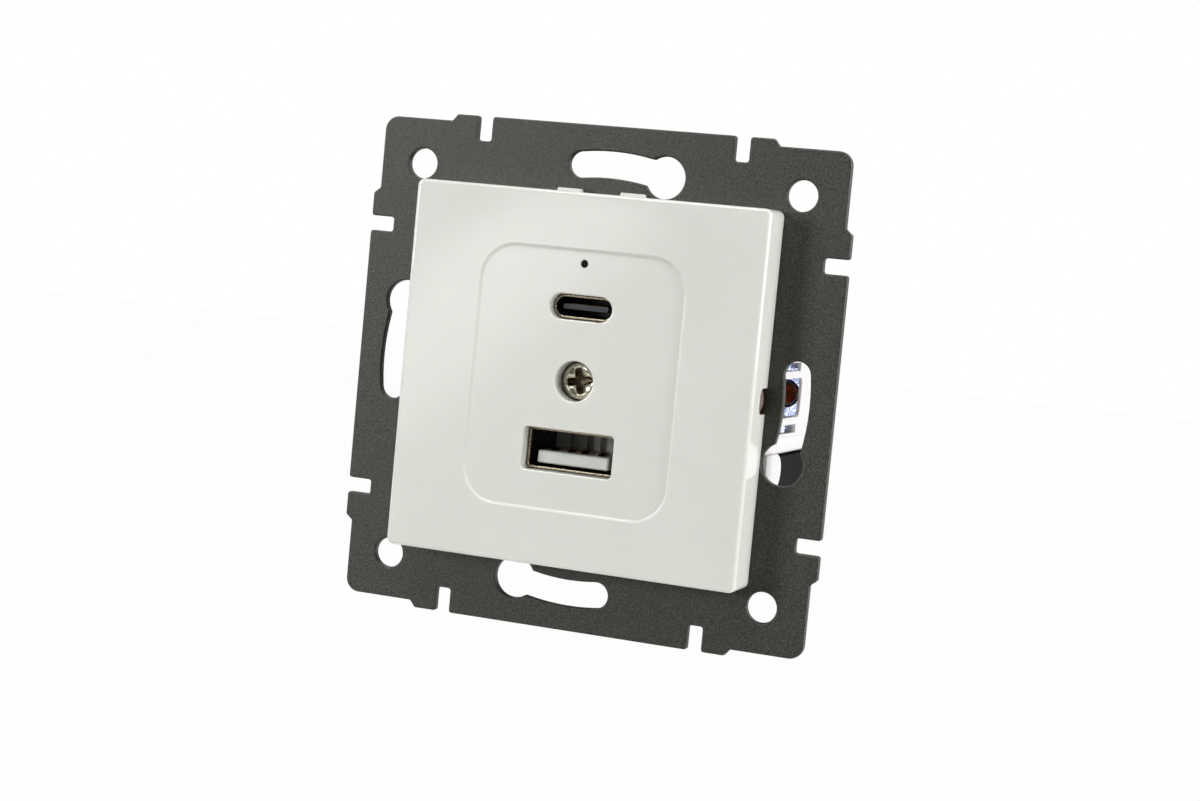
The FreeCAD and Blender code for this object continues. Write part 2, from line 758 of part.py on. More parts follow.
def claw():
    """Folded steel claw: a foot on the screw and two toothed arms beside it."""
    foot = box(claw_x - claw_foot_half_width, claw_x + claw_foot_half_width, claw_foot_y,
               claw_foot_y + claw_sheet, -arm_half_height, arm_half_height)
    foot = foot.cut(rod(claw_x, 0, claw_hole_radius, claw_foot_y - 1, claw_foot_y + claw_sheet + 1))
    inner = claw_x + claw_arm_inner
    outer = claw_x + claw_arm_outer
    tip = claw_x + claw_tooth_reach
    teeth = [(inner, claw_arm_front, 0)]
    for index in range(claw_tooth_count):
        start = claw_arm_front + claw_tooth_pitch * index
        teeth += [(tip, start + 0.1 * claw_tooth_pitch, 0), (outer, start + claw_tooth_pitch, 0)]
    back = claw_foot_y + 0.1
    teeth += [(outer, back, 0), (inner, back, 0)]
    arms = []
    for low in (-arm_half_height, claw_arm_z):
        arms.append(along_z(teeth, low, low + claw_arm_sheet))
    piece = fused([foot] + arms)

    def is_fold(point):
        on_back = abs(point.y - claw_foot_y - claw_sheet) < 1e-4
        return on_back and abs(abs(point.z) - arm_half_height) < 1e-4

    return piece.makeFillet(0.8, edges_where(piece, is_fold))


def usb_a_shell():
    """Folded steel tube with two spring tongues pressed in through its lower side."""
    outer = usb_a_opening(0, usb_a_rim, socket_board_y)
    shell = outer.cut(usb_a_opening(-shell_sheet, usb_a_rim - 1, socket_board_y + 1))
    floor = usb_a_z - usb_a_shell_height / 2
    start = usb_a_rim + spring_start
    end = start + spring_length
    springs = []
    for x in (-spring_offset, spring_offset):
        half = spring_width / 2
        shell = shell.cut(box(x - half - spring_gap, x + half + spring_gap, start - spring_gap, end,
                              floor - 1, floor + shell_sheet + 0.1))
        low = floor + spring_rise
        corners = [(end + 0.1, floor, 0), (end + 0.1, floor + shell_sheet, 0), (end, floor + shell_sheet, 0),
                   (start + 1.2, low + shell_sheet, 0), (start, floor + shell_sheet, 0),
                   (start, floor + 0.05, 0), (start + 1.2, low, 0), (end, floor, 0)]
        springs.append(along_x(corners, x - half, x + half))
    shell = shell.makeFillet(shell_rim_radius, edges_where(shell, at_level(usb_a_rim)))
    return fused([shell] + springs)


def usb_a_contact_at(x):
    """One contact: a raised nose on the tongue and a straight run back through the board."""
    top = usb_a_tongue_top
    t = usb_a_contact_sheet
    nose = usb_a_rim + 3.2
    rise = top + usb_a_hump
    end = socket_board_y + board_thickness + link_pin_tail
    corners = [(nose - 1.0, top - t, 0), (end, top - t, 0), (end, top, 0), (nose + 2.2, top, 0),
               (nose + 0.8, rise, 0.3), (nose + 0.2, rise, 0.3), (nose - 1.0, top, 0)]
    half = usb_a_contact_width / 2
    return along_x(corners, x - half, x + half)


def usb_a_contacts():
    return Part.makeCompound([usb_a_contact_at(x) for x in usb_a_contact_places])


def usb_a_insulator():
    """White block that closes the shell's back and carries the tongue."""
    width = usb_a_shell_width - 2 * (shell_sheet + usb_a_block_gap)
    height = usb_a_shell_height - 2 * (shell_sheet + usb_a_block_gap)
    block = along_y(rectangle(width, height, 0.2, 0, usb_a_z), usb_a_floor, socket_board_y)
    middle = usb_a_tongue_top - usb_a_tongue_thickness / 2
    corners = rectangle(usb_a_tongue_width, usb_a_tongue_thickness, 0.25, 0, middle)
    front = usb_a_rim + usb_a_tongue_setback
    tongue = along_y(corners, front, usb_a_floor + 0.1)
    tongue = tongue.makeChamfer(0.2, edges_where(tongue, at_level(front)))
    body = fused([block, tongue])
    half = usb_a_contact_width / 2
    slots = []
    for x in usb_a_contact_places:
        slots.append(box(x - half, x + half, usb_a_floor - 1, usb_a_floor + usb_a_slot_depth,
                         usb_a_tongue_top, usb_a_z + height / 2 - 0.5))
    return body.cut(slots + [usb_a_contact_at(x) for x in usb_a_contact_places])


def usb_c_shell():
    outer = usb_c_opening(0, usb_c_rim, socket_board_y)
    shell = outer.cut(usb_c_opening(-shell_sheet, usb_c_rim - 1, socket_board_y + 1))
    return shell.makeFillet(shell_rim_radius, edges_where(shell, at_level(usb_c_rim)))


def usb_c_mid_plate():
    """Steel sheet in the middle of the tongue, showing at its two sides."""
    front = usb_c_rim + usb_c_tongue_setback + 0.3
    half = usb_c_tongue_width / 2 + usb_c_mid_plate_side
    return box(-half, half, front, usb_c_floor + 2, usb_c_z - usb_c_mid_plate_sheet / 2,
               usb_c_z + usb_c_mid_plate_sheet / 2)


def usb_c_contacts():
    """Gold pads along both faces of the tongue."""
    start = usb_c_rim + usb_c_tongue_setback + usb_c_pad_setback
    first = -usb_c_pad_pitch * (usb_c_pad_count - 1) / 2
    pads = []
    for side in (-1, 1):
        face = usb_c_z + side * usb_c_tongue_thickness / 2
        low = face if side > 0 else face - usb_c_pad_sheet
        for index in range(usb_c_pad_count):
            x = first + usb_c_pad_pitch * index
            pads.append(box(x - usb_c_pad_width / 2, x + usb_c_pad_width / 2, start,
                            start + usb_c_pad_length, low, low + usb_c_pad_sheet))
    return Part.makeCompound(pads)


def usb_c_tongue():
    """Black insulator: a block at the shell's back and the thin tongue before it."""
    gap = shell_sheet + 0.03
    block = usb_c_opening(-gap, usb_c_floor, socket_board_y)
    front = usb_c_rim + usb_c_tongue_setback
    corners = rectangle(usb_c_tongue_width, usb_c_tongue_thickness, 0.15, 0, usb_c_z)
    tongue = along_y(corners, front, usb_c_floor + 0.1)
    return fused([block, tongue]).cut(usb_c_mid_plate())


def light_pipe():
    """Clear rod that carries the light from the board to the hole in the cover."""
    tip_start = panel_face + light_pipe_sink
    body_start = panel_face + light_pipe_tip_length + 0.1
    tip = rod(0, light_z, light_hole_radius - 0.05, tip_start, body_start + 0.1)
    body = rod(0, light_z, light_pipe_radius, body_start, socket_board_y - led_height)
    return fused([tip, body])


def indicator_led():
    return box(-led_side / 2, led_side / 2, socket_board_y - led_height, socket_board_y,
               light_z - led_side / 4, light_z + led_side / 4)


def link_pin_places():
    first = -link_pin_pitch * (link_pin_count - 1) / 2
    return [first + link_pin_pitch * index for index in range(link_pin_count)]


def socket_board():
    board = rear_block(housing_wall + board_gap, socket_board_y, socket_board_y + board_thickness)
    start, end = socket_board_y - 1, socket_board_y + board_thickness + 1
    cuts = [rod(x, link_pin_z, pin_hole_radius, start, end) for x in link_pin_places()]
    middle = usb_a_tongue_top - usb_a_contact_sheet / 2
    cuts += [rod(x, middle, pin_hole_radius, start, end) for x in usb_a_contact_places]
    return board.cut(cuts)


def power_board():
    end = power_board_y + board_thickness
    board = rear_block(housing_wall + board_gap, power_board_y, end)
    cuts = [rod(x, link_pin_z, pin_hole_radius, power_board_y - 1, end + 1) for x in link_pin_places()]
    return board.cut(cuts)


def board_link_pins():
    start = socket_board_y - link_pin_tail
    end = power_board_y + board_thickness + link_pin_tail
    return Part.makeCompound([rod(x, link_pin_z, link_pin_radius, start, end) for x in link_pin_places()])


def chip(place, size, y_seat, outward):
    """Moulded chip with a bevelled edge; outward is the side of the board it stands on."""
    x, z = place
    width, height = size
    y_far = y_seat + outward * chip_height
    body = box(x - width / 2, x + width / 2, min(y_seat, y_far), max(y_seat, y_far),
               z - height / 2, z + height / 2)
    body = body.makeChamfer(chip_bevel, edges_where(body, at_level(y_far)))
    mark_x = x - width / 2 + chip_mark_inset
    mark_z = z + height / 2 - chip_mark_inset
    return body.cut(rod(mark_x, mark_z, chip_mark_radius, y_far - 0.15, y_far + 0.15))


def charge_controller():
    return chip(controller_place, controller_size, socket_board_y + board_thickness, 1)


def switching_controller():
    return chip(switch_place, switch_size, power_board_y + board_thickness, 1)


def bridge_rectifier():
    return chip((0.0, link_pin_z - rectifier_offset), rectifier_size,
                power_board_y + board_thickness, 1)


def transformer_core():
    """Two E-shaped ferrite halves: yokes above and below, and three legs."""
    y = power_board_y - winding_depth / 2
    x, z = transformer_x, transformer_z
    half_y = core_depth / 2
    inner_z = core_height / 2 - core_yoke
    frame = box(x - core_width / 2, x + core_width / 2, y - half_y, y + half_y,
                z - core_height / 2, z + core_height / 2)
    windows = []
    for side in (-1, 1):
        near = x + side * core_middle_leg / 2
        far = x + side * (core_width / 2 - core_leg)
        windows.append(box(min(near, far), max(near, far), y - half_y - 1, y + half_y + 1,
                           z - inner_z, z + inner_z))
    return frame.cut(windows)


def transformer_winding():
    y = power_board_y - winding_depth / 2
    x, z = transformer_x, transformer_z
    half_z = core_height / 2 - core_yoke - winding_gap
    body = along_z([(x - winding_width / 2, y - winding_depth / 2, 1.2),
                    (x + winding_width / 2, y - winding_depth / 2, 1.2),
                    (x + winding_width / 2, y + winding_depth / 2, 1.2),
                    (x - winding_width / 2, y + winding_depth / 2, 1.2)], z - half_z, z + half_z)
    leg = core_middle_leg / 2 + winding_gap
    return body.cut(box(x - leg, x + leg, y - core_depth / 2 - winding_gap,
                        y + core_depth / 2 + winding_gap, z - half_z - 1, z + half_z + 1))


def can_capacitor(radius, length, centre, axis):
    body = Part.makeCylinder(radius, length, centre, axis)
    return body.makeFillet(can_edge_radius, [e for e in body.Edges if e.Curve.TypeId == "Part::GeomCircle"])


def input_capacitors():
    y = power_board_y + board_thickness + input_capacitor_radius
    low = input_capacitor_z - input_capacitor_length / 2
    cans = [can_capacitor(input_capacitor_radius, input_capacitor_length, V(x, y, low), V(0, 0, 1))
            for x in (-input_capacitor_x, input_capacitor_x)]
    return Part.makeCompound(cans)


def output_capacitor():
    y = power_board_y - output_capacitor_radius
    return can_capacitor(output_capacitor_radius, output_capacitor_length,
                         V(output_capacitor_start, y, output_capacitor_z), V(1, 0, 0))


def interference_capacitor():
    place = V(small_part_inset - rear_inner_x, power_board_y - interference_radius, interference_z)
    body = Part.makeCylinder(interference_radius, interference_thickness, place, V(1, 0, 0))
    rims = [e for e in body.Edges if e.Curve.TypeId == "Part::GeomCircle"]
    return body.makeFillet(interference_edge, rims)


def fuse_resistor():
    place = V(small_part_inset - rear_inner_x, power_board_y - fuse_radius, fuse_z)
    return can_capacitor(fuse_radius, fuse_length, place, V(1, 0, 0))


def terminal_bar():
    """Fixed brass bar through the cage, with a foot down to the board."""
    half = cage_width / 2 - cage_wall - bar_side_gap
    low, high = terminal_z - bar_low_reach, terminal_z + bar_high_reach
    start = power_board_y + board_thickness
    corners = [(bar_y, low, 0), (bar_y + bar_sheet, low, 0), (bar_y + bar_sheet, high, bar_sheet),
               (start, high, 0), (start, high - bar_sheet, 0), (bar_y, high - bar_sheet, 0)]
    return along_x(corners, terminal_x - half, terminal_x + half)


def terminal_clamp():
    """Rising cage: the screw draws it back and squeezes the wire on the bar."""
    half = cage_width / 2
    z = (terminal_z - cage_depth / 2, terminal_z + cage_depth / 2)
    body = box(terminal_x - half, terminal_x + half, cage_front, cage_back, *z)
    body = body.makeFillet(0.6, edges_where(body, lambda p: abs(abs(p.x - terminal_x) - half) < 1e-4
                                            and (at_level(cage_front)(p) or at_level(cage_back)(p))))
    room = box(terminal_x - half + cage_wall, terminal_x + half - cage_wall, cage_front + cage_wall,
               cage_back - cage_tapped_wall, z[0] - 1, z[1] + 1)
    bore = rod(terminal_x, terminal_z, screw_thread_radius + running_gap, bar_y, cage_back + 1)
    return body.cut([room, bore])


def terminal_screw():
    """Short screw turned from the rear, its tip on the bar and its head in the rear wall."""
    top = rear_depth - terminal_head_sink
    seat = top - terminal_head_height
    head = rod(0, 0, terminal_head_radius, seat, top)
    head = head.makeFillet(0.3, edges_where(head, at_level(top)))
    shank = rod(0, 0, screw_thread_radius, bar_y + bar_sheet + terminal_tip_gap, seat)
    recess = drive_recess(terminal_head_radius, -top, 0).mirror(V(0, 0, 0), V(0, 1, 0))
    screw = fused([head, shank]).cut(recess)
    screw.translate(V(terminal_x, 0, terminal_z))
    return screw


def parts():
    pieces = {
        "mounting_plate": mounting_plate(),
        "front_cover": front_cover(),
        "cover_screw": cover_screw(),
        "cover_screw_insert": cover_screw_insert(),
        "plate_screws": plate_screws(),
        "front_housing": front_housing(),
        "rear_housing": rear_housing(),
        "usb_a_shell": usb_a_shell(),
        "usb_a_insulator": usb_a_insulator(),
        "usb_a_contacts": usb_a_contacts(),
        "usb_c_shell": usb_c_shell(),
        "usb_c_tongue": usb_c_tongue(),
        "usb_c_mid_plate": usb_c_mid_plate(),
        "usb_c_contacts": usb_c_contacts(),
        "light_pipe": light_pipe(),
        "indicator_led": indicator_led(),
        "socket_board": socket_board(),
        "charge_controller": charge_controller(),
        "board_link_pins": board_link_pins(),
        "power_board": power_board(),
        "transformer_core": transformer_core(),
        "transformer_winding": transformer_winding(),
        "input_capacitors": input_capacitors(),
        "output_capacitor": output_capacitor(),
        "interference_capacitor": interference_capacitor(),
        "bridge_rectifier": bridge_rectifier(),
        "switching_controller": switching_controller(),
        "fuse_resistor": fuse_resistor(),
    }
    paired = {
        "claw_screw": claw_screw(),
        "claw_nut": claw_nut(),
        "claw": claw(),
        "terminal_bar": terminal_bar(),
        "terminal_clamp": terminal_clamp(),
        "terminal_screw": terminal_screw(),
    }
    for name, shape in paired.items():
        pieces[name + "_right"] = shape
        pieces[name + "_left"] = mirrored(shape)
    return pieces


os.makedirs("parts", exist_ok=True)
for name, shape in parts().items():
    if not shape.isValid():
        print("not valid:", name)
    shape.exportStep("parts/%s.step" % name)
    print("%-24s solids %2d  volume %9.2f mm3" % (name, len(shape.Solids), shape.Volume))
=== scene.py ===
# %% [markdown]
# # A USB wall socket
# This lesson dresses one flush-mounted USB charging socket. The construction model is loaded as
# a fixed frame, in metres, with -Y towards the room and +Z up. The lesson gives each of its
# pieces a real finish with soft edges, and adds what is too fine for the construction model, such
# as screw threads. Nothing in the frame is moved or resized.

import math

import bmesh
import bpy
import numpy as np
from mathutils import Matrix, Vector

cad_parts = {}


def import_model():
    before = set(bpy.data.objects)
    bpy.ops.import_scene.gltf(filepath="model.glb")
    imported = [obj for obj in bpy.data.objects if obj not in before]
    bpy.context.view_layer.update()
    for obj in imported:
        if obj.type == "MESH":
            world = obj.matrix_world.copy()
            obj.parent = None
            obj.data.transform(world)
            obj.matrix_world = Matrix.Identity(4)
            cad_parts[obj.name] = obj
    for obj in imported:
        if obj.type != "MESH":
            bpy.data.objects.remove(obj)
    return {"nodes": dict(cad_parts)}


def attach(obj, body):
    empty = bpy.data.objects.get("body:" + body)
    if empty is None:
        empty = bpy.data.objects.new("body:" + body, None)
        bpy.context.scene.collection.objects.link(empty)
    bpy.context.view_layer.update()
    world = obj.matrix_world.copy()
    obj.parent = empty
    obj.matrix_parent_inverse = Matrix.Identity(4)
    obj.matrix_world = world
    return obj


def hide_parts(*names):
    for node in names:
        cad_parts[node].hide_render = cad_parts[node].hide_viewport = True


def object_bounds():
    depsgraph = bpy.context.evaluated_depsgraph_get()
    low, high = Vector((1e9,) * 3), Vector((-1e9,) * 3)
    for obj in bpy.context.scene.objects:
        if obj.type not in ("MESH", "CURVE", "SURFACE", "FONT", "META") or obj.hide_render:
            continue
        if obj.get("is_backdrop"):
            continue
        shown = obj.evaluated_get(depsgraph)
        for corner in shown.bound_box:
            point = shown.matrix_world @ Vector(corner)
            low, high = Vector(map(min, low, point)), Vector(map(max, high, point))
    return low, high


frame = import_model()
frame_low, frame_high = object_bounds()
MM = 0.001
print("frame box in mm:", [round(v / MM, 2) for v in (*frame_low, *frame_high)])

# %% [markdown]
# ## Camera
# The photograph was taken from the right and slightly above, with the camera rolled a little.
# Its place was worked out from the corners and holes of the mounting plate. Setting the camera's
# whole matrix from its right, up and back directions keeps that roll, which a simple
# look-at helper would lose.

# %% Camera
CAMERA_PLACE = (112.4, -306.8, 20.6)
CAMERA_RIGHT = (0.9341, 0.3443, 0.0940)
CAMERA_UP = (-0.1127, 0.0346, 0.9930)
CAMERA_BACK = (0.3387, -0.9382, 0.0712)
CAMERA_LENS = 70.1

camera_data = bpy.data.cameras.new("camera")
camera_data.lens = CAMERA_LENS
camera_data.sensor_width = 36.0
camera_data.clip_start = 0.01
camera = bpy.data.objects.new("camera", camera_data)
bpy.context.collection.objects.link(camera)
turn = Matrix((CAMERA_RIGHT, CAMERA_UP, CAMERA_BACK)).transposed().to_4x4()
camera.matrix_world = Matrix.Translation(Vector(CAMERA_PLACE) * MM) @ turn
bpy.context.scene.camera = camera
bpy.context.scene.view_settings.view_transform = "Standard"
print("camera stands", round(Vector(CAMERA_PLACE).length), "mm from the plate's middle")

# %% [markdown]
# ## Colour and nodes
# Colours are written as sRGB hex values, as a picture editor shows them, and one function turns
# them to the linear values that shaders need. Materials are built from nodes, and one small
# function adds a node with its settings and links, so that each material reads as a short list.
#
# The frame's edges are knife-sharp where no radius was built, and real ones never are: sheet
# metal rolls over where it is punched, and plastic fills a tool's corner in a small radius. Edges
# could be bevelled in the mesh, but the frame stays as it is. So every material starts with a
# Bevel node, which turns the normal over within edge_mm of an edge, and light catches each edge
# without a change of form.

# %% Colour and node helpers
def linear(hex_colour):
    """sRGB hex to linear RGBA: a power curve above 0.04045 and a straight line below it."""
    parts = [int(hex_colour[i:i + 2], 16) / 255 for i in (1, 3, 5)]
    return [c / 12.92 if c <= 0.04045 else ((c + 0.055) / 1.055) ** 2.4 for c in parts] + [1.0]


def add(material, kind, settings=None, links=None):
    """Adds one node. Settings go to its stops, sockets or properties, links to its inputs."""
    node = material.node_tree.nodes.new("ShaderNode" + kind)
    for key, value in (settings or {}).items():
        if key == "stops":
            elements = node.color_ramp.elements
            while len(elements) < len(value):
                elements.new(0.5)
            for element, (position, colour) in zip(elements, value):
                element.position, element.color = position, linear(colour)
        elif isinstance(key, int) or key in node.inputs:
            node.inputs[key].default_value = value
        else:
            setattr(node, key, value)
    for key, source in (links or {}).items():
        material.node_tree.links.new(node.inputs[key], source)
    return node


def connect(material, shader, links):
    """Links the outputs of nodes to the shader's inputs."""
    for key, source in links.items():
        material.node_tree.links.new(shader.inputs[key], source)


def start_material(name, edge_mm, settings):
    """A new material: its shader with fixed values, the object's coordinates and soft edges."""
    material = bpy.data.materials.new(name)
    material.use_nodes = True
    shader = material.node_tree.nodes["Principled BSDF"]
    for key, value in settings.items():
        shader.inputs[key].default_value = value
    place = add(material, "TexCoord").outputs["Object"]
    edges = add(material, "Bevel", {"samples": 6, "Radius": edge_mm * MM}).outputs["Normal"]
    connect(material, shader, {"Normal": edges})
    return material, shader, place, edges


finishes = []
print("a middle grey, linear:", round(linear("#808080")[0], 3))

# %% [markdown]
# ## Powder-coated steel plate
# The mounting plate is cold-rolled sheet with a dark grey powder coat. Powder melts into a skin
# with a fine orange peel and paler grains, so it looks matt and slightly sparkling. The real
# grains are about 0.15 mm across, finer than the render shows, so they are drawn at 0.26 mm.
# They are too fine to model, and one noise drives the colour, the shine and the bump together,
# so that a raised grain is also a paler and shinier one.

# %% Powder coat
def powder_coated_steel():
    """Grains of 0.26 mm over broad stains of 9 mm, with a pale fleck in each 0.9 mm cell."""
    material, shader, place, edges = start_material("powder_coated_steel", 0.06, {
        "IOR": 1.5, "Specular Tint": linear("#fafbf2")})
    fine = add(material, "TexNoise", {"Scale": 1 / (0.26 * MM), "Detail": 3.0, "Roughness": 0.65},
               {"Vector": place}).outputs["Fac"]
    broad = add(material, "TexNoise", {"Scale": 1 / (9.0 * MM), "Detail": 2.0},
                {"Vector": place}).outputs["Fac"]
    specks = add(material, "TexVoronoi", {"Scale": 1 / (0.9 * MM)}, {"Vector": place})
    flecks = add(material, "MapRange", {"From Min": 0.06, "From Max": 0.16, "To Min": 0.30,
                                        "To Max": 0.0}, {"Value": specks.outputs["Distance"]})
    base = add(material, "ValToRGB", {"stops": [(0.32, "#0e0f0c"), (0.50, "#1d1e19"),
                                                (0.68, "#33342e")]}, {"Fac": fine})
    tint = add(material, "ValToRGB", {"stops": [(0.3, "#f1f1ec"), (0.7, "#ffffff")]},
               {"Fac": broad})
    mixed = add(material, "Mix", {"data_type": "RGBA", "blend_type": "MULTIPLY", 0: 1.0},
                {6: base.outputs["Color"], 7: tint.outputs["Color"]})
    flecked = add(material, "Mix", {"data_type": "RGBA", 7: linear("#5c5d56")},
                  {0: flecks.outputs["Result"], 6: mixed.outputs[2]})
    matt = add(material, "MapRange", {"From Min": 0.3, "From Max": 0.7, "To Min": 0.42,
                                      "To Max": 0.58}, {"Value": fine})
    shine = add(material, "MapRange", {"From Min": 0.35, "From Max": 0.65, "To Min": 0.50,
                                       "To Max": 0.85}, {"Value": fine})
    peel = add(material, "Bump", {"Distance": 0.050 * MM, "Strength": 0.8},
               {"Height": fine, "Normal": edges})
    connect(material, shader, {
        "Base Color": flecked.outputs[2], "Roughness": matt.outputs["Result"],
        "Specular IOR Level": shine.outputs["Result"], "Normal": peel.outputs["Normal"]})
    return material


finishes.append(powder_coated_steel())
print(len(finishes), "finish so far, with", len(finishes[0].node_tree.nodes), "nodes")

# %% [markdown]
# ## Moulded plastics
# The cover is injection-moulded from glossy white ABS in a polished tool: nearly smooth, with
# a very slight long waviness that makes reflections drift. The housings come from plainer tools.
# The white one is satin polypropylene, and the black one is glass-filled nylon, whose surface is
# finely eroded. Light goes a little way into white plastic, which softens its shadows.
#
# One function makes them all, since they differ only in their shades, their shine and the
# texture that spark erosion leaves in the tool. The ports' insulators and the light's red cast
# body are moulded in the same way. The light pipe is acrylic with so deep a red tint that it
# looks nearly black while the light is off, and only a little light comes through it.

# %% Plastics
def moulded_plastic(name, light, dark, roughness, spark_mm, spark_depth, depth_mm=0.0,
                    edge_mm=0.10, gloss=0.5):
    """Plastic between two close shades, with spark-eroded texture and long waviness."""
    fixed = {"IOR": 1.53, "Specular IOR Level": gloss}
    if depth_mm:
        fixed["Subsurface Weight"] = 0.25
        fixed["Subsurface Radius"] = (1.0, 0.9, 0.75)
        fixed["Subsurface Scale"] = depth_mm * MM
    material, shader, place, edges = start_material(name, edge_mm, fixed)
    broad = add(material, "TexNoise", {"Scale": 1 / (14.0 * MM), "Detail": 2.0},
                {"Vector": place}).outputs["Fac"]
    fine = add(material, "TexNoise", {"Scale": 1 / (spark_mm * MM), "Detail": 2.0},
               {"Vector": place}).outputs["Fac"]
    shade = add(material, "ValToRGB", {"stops": [(0.3, dark), (0.7, light)]}, {"Fac": broad})
    matt = add(material, "MapRange", {"From Min": 0.3, "From Max": 0.7, "To Min": roughness - 0.03,
                                      "To Max": roughness + 0.04}, {"Value": fine})
    wavy = add(material, "Bump", {"Distance": 0.006 * MM, "Strength": 1.0},
               {"Height": broad, "Normal": edges})
    eroded = add(material, "Bump", {"Distance": spark_depth * MM, "Strength": 0.6},
                 {"Height": fine, "Normal": wavy.outputs["Normal"]})
    connect(material, shader, {
        "Base Color": shade.outputs["Color"], "Roughness": matt.outputs["Result"],
        "Normal": eroded.outputs["Normal"]})
    return material


def tinted_acrylic(name, colour):
    """Clear moulding with colour in its depth."""
    return start_material(name, 0.05, {
        "Base Color": linear(colour), "IOR": 1.49, "Roughness": 0.30, "Transmission Weight": 0.1,
        "Specular IOR Level": 0.08})[0]


finishes += [
    moulded_plastic("glossy_abs_white", "#e4e4de", "#e0e0da", 0.07, 0.5, 0.0002, 0.6),
    moulded_plastic("satin_polypropylene_white", "#e2e0e0", "#dcdadb", 0.42, 0.30, 0.006, 0.8,
                    gloss=0.2),
    moulded_plastic("eroded_nylon_black", "#141215", "#0e0d10", 0.60, 0.12, 0.020, gloss=0.03),
    moulded_plastic("liquid_crystal_polymer_white", "#e6e8e4", "#dfe2de", 0.33, 0.2, 0.004, 0.4,
                    0.05),
    moulded_plastic("liquid_crystal_polymer_black", "#1c2632", "#151c26", 0.35, 0.2, 0.004, 0.0,
                    0.04),
    tinted_acrylic("red_tinted_acrylic", "#26030a"),
    moulded_plastic("cast_epoxy_red", "#a3201c", "#8e1a18", 0.2, 0.5, 0.001),
]
print(len(finishes), "finishes so far")

# %% [markdown]
# ## Nickel, gold, brass and tin
# The ports' shells are folded from nickel-plated steel, which is warm and slightly yellow, with
# shade painted in down inside them. Gold covers the contacts, the terminal bars are turned
# brass, and the pins between the boards are tinned copper, grey and soft in its shine. A metal's
# colour goes into its reflection, and the rest of the look comes from roughness and fine marks.
#
# The marks are noise, stretched along the way that the shells' metal was drawn. A picture of
# scratches would also do, but noise has no seams and is scaled in millimetres. Real marks are a
# few hundredths of a millimetre wide, too fine to show, so these are 0.25 to 0.5 mm wide.

# %% Plated and drawn metals
def drawn_marks(material, place, mark_mm):
    """Noise whose lumps measure mark_mm along X, Y and Z, for drawn and brushed marks."""
    scaled = add(material, "Mapping", {"Scale": [1 / (m * MM) for m in mark_mm]},
                 {"Vector": place}).outputs["Vector"]
    return add(material, "TexNoise", {"Scale": 1.0, "Detail": 3.0},
               {"Vector": scaled}).outputs["Fac"]


def plated(name, light, dark, roughness, mark_mm=(0.4, 0.4, 0.4), mark_depth=0.004, edge_mm=0.05,
           shade_inside=None):
    """Plated metal with drawing marks.

    The last argument, when given, holds a start, an end and a colour: from start to end mm along
    Y, painted shade turns the plating to that colour, down inside a folded shell.
    """
    material, shader, place, edges = start_material(name, edge_mm, {"Metallic": 1.0})
    marks = drawn_marks(material, place, mark_mm)
    colour = add(material, "ValToRGB", {"stops": [(0.3, dark), (0.7, light)]},
                 {"Fac": marks}).outputs["Color"]
    # Painted shade: the plating darkens with depth along Y.
    if shade_inside:
        start, end, deep = shade_inside
        along = add(material, "SeparateXYZ", {}, {"Vector": place}).outputs["Y"]
        depth = add(material, "MapRange", {"From Min": start * MM, "From Max": end * MM,
                                           "To Min": 0.0, "To Max": 1.0}, {"Value": along})
        colour = add(material, "Mix", {"data_type": "RGBA", 7: linear(deep)},
                     {0: depth.outputs["Result"], 6: colour}).outputs[2]
    matt = add(material, "MapRange", {"From Min": 0.3, "From Max": 0.7, "To Min": roughness + 0.07,
                                      "To Max": roughness - 0.05}, {"Value": marks})
    scored = add(material, "Bump", {"Distance": mark_depth * MM, "Strength": 0.5},
                 {"Height": marks, "Normal": edges})
    connect(material, shader, {
        "Base Color": colour, "Roughness": matt.outputs["Result"],
        "Normal": scored.outputs["Normal"]})
    return material


# The shells' plating gets painted shade down inside them.
finishes += [
    plated("nickel_plated_steel", "#b8ad98", "#948b75", 0.26, (0.25, 2.5, 0.25),
           shade_inside=(-4.6, -3.8, "#3c3a33")),
    plated("gold_plated_contact", "#c8a060", "#97723c", 0.26),
    plated("turned_brass", "#d2ac5e", "#a9833e", 0.28),
    plated("tinned_copper", "#c7c9c9", "#a6a8a8", 0.30),
]
print(len(finishes), "finishes so far")

# %% [markdown]
# ## The cover screw's nickel
# The screw in the middle of the cover has bright nickel on its head. Down in the recess for the
# driver, shade is painted in as brown. The recess could be a second material, but the screw is
# one piece. So the painted shade comes in by place: below the head's face and within the
# recess's reach from the screw's line, which runs along Y through the origin.

# %% Nickel with painted shade in the recess
# The recess's brown is painted shade.
RECESS_FACE, RECESS_FULL_SHADE = -4.62, -4.45     # mm along Y: still bright, and fully brown
RECESS_REACH, RECESS_FADE = 1.92, 2.00       # mm from the line: fully brown, and bright again


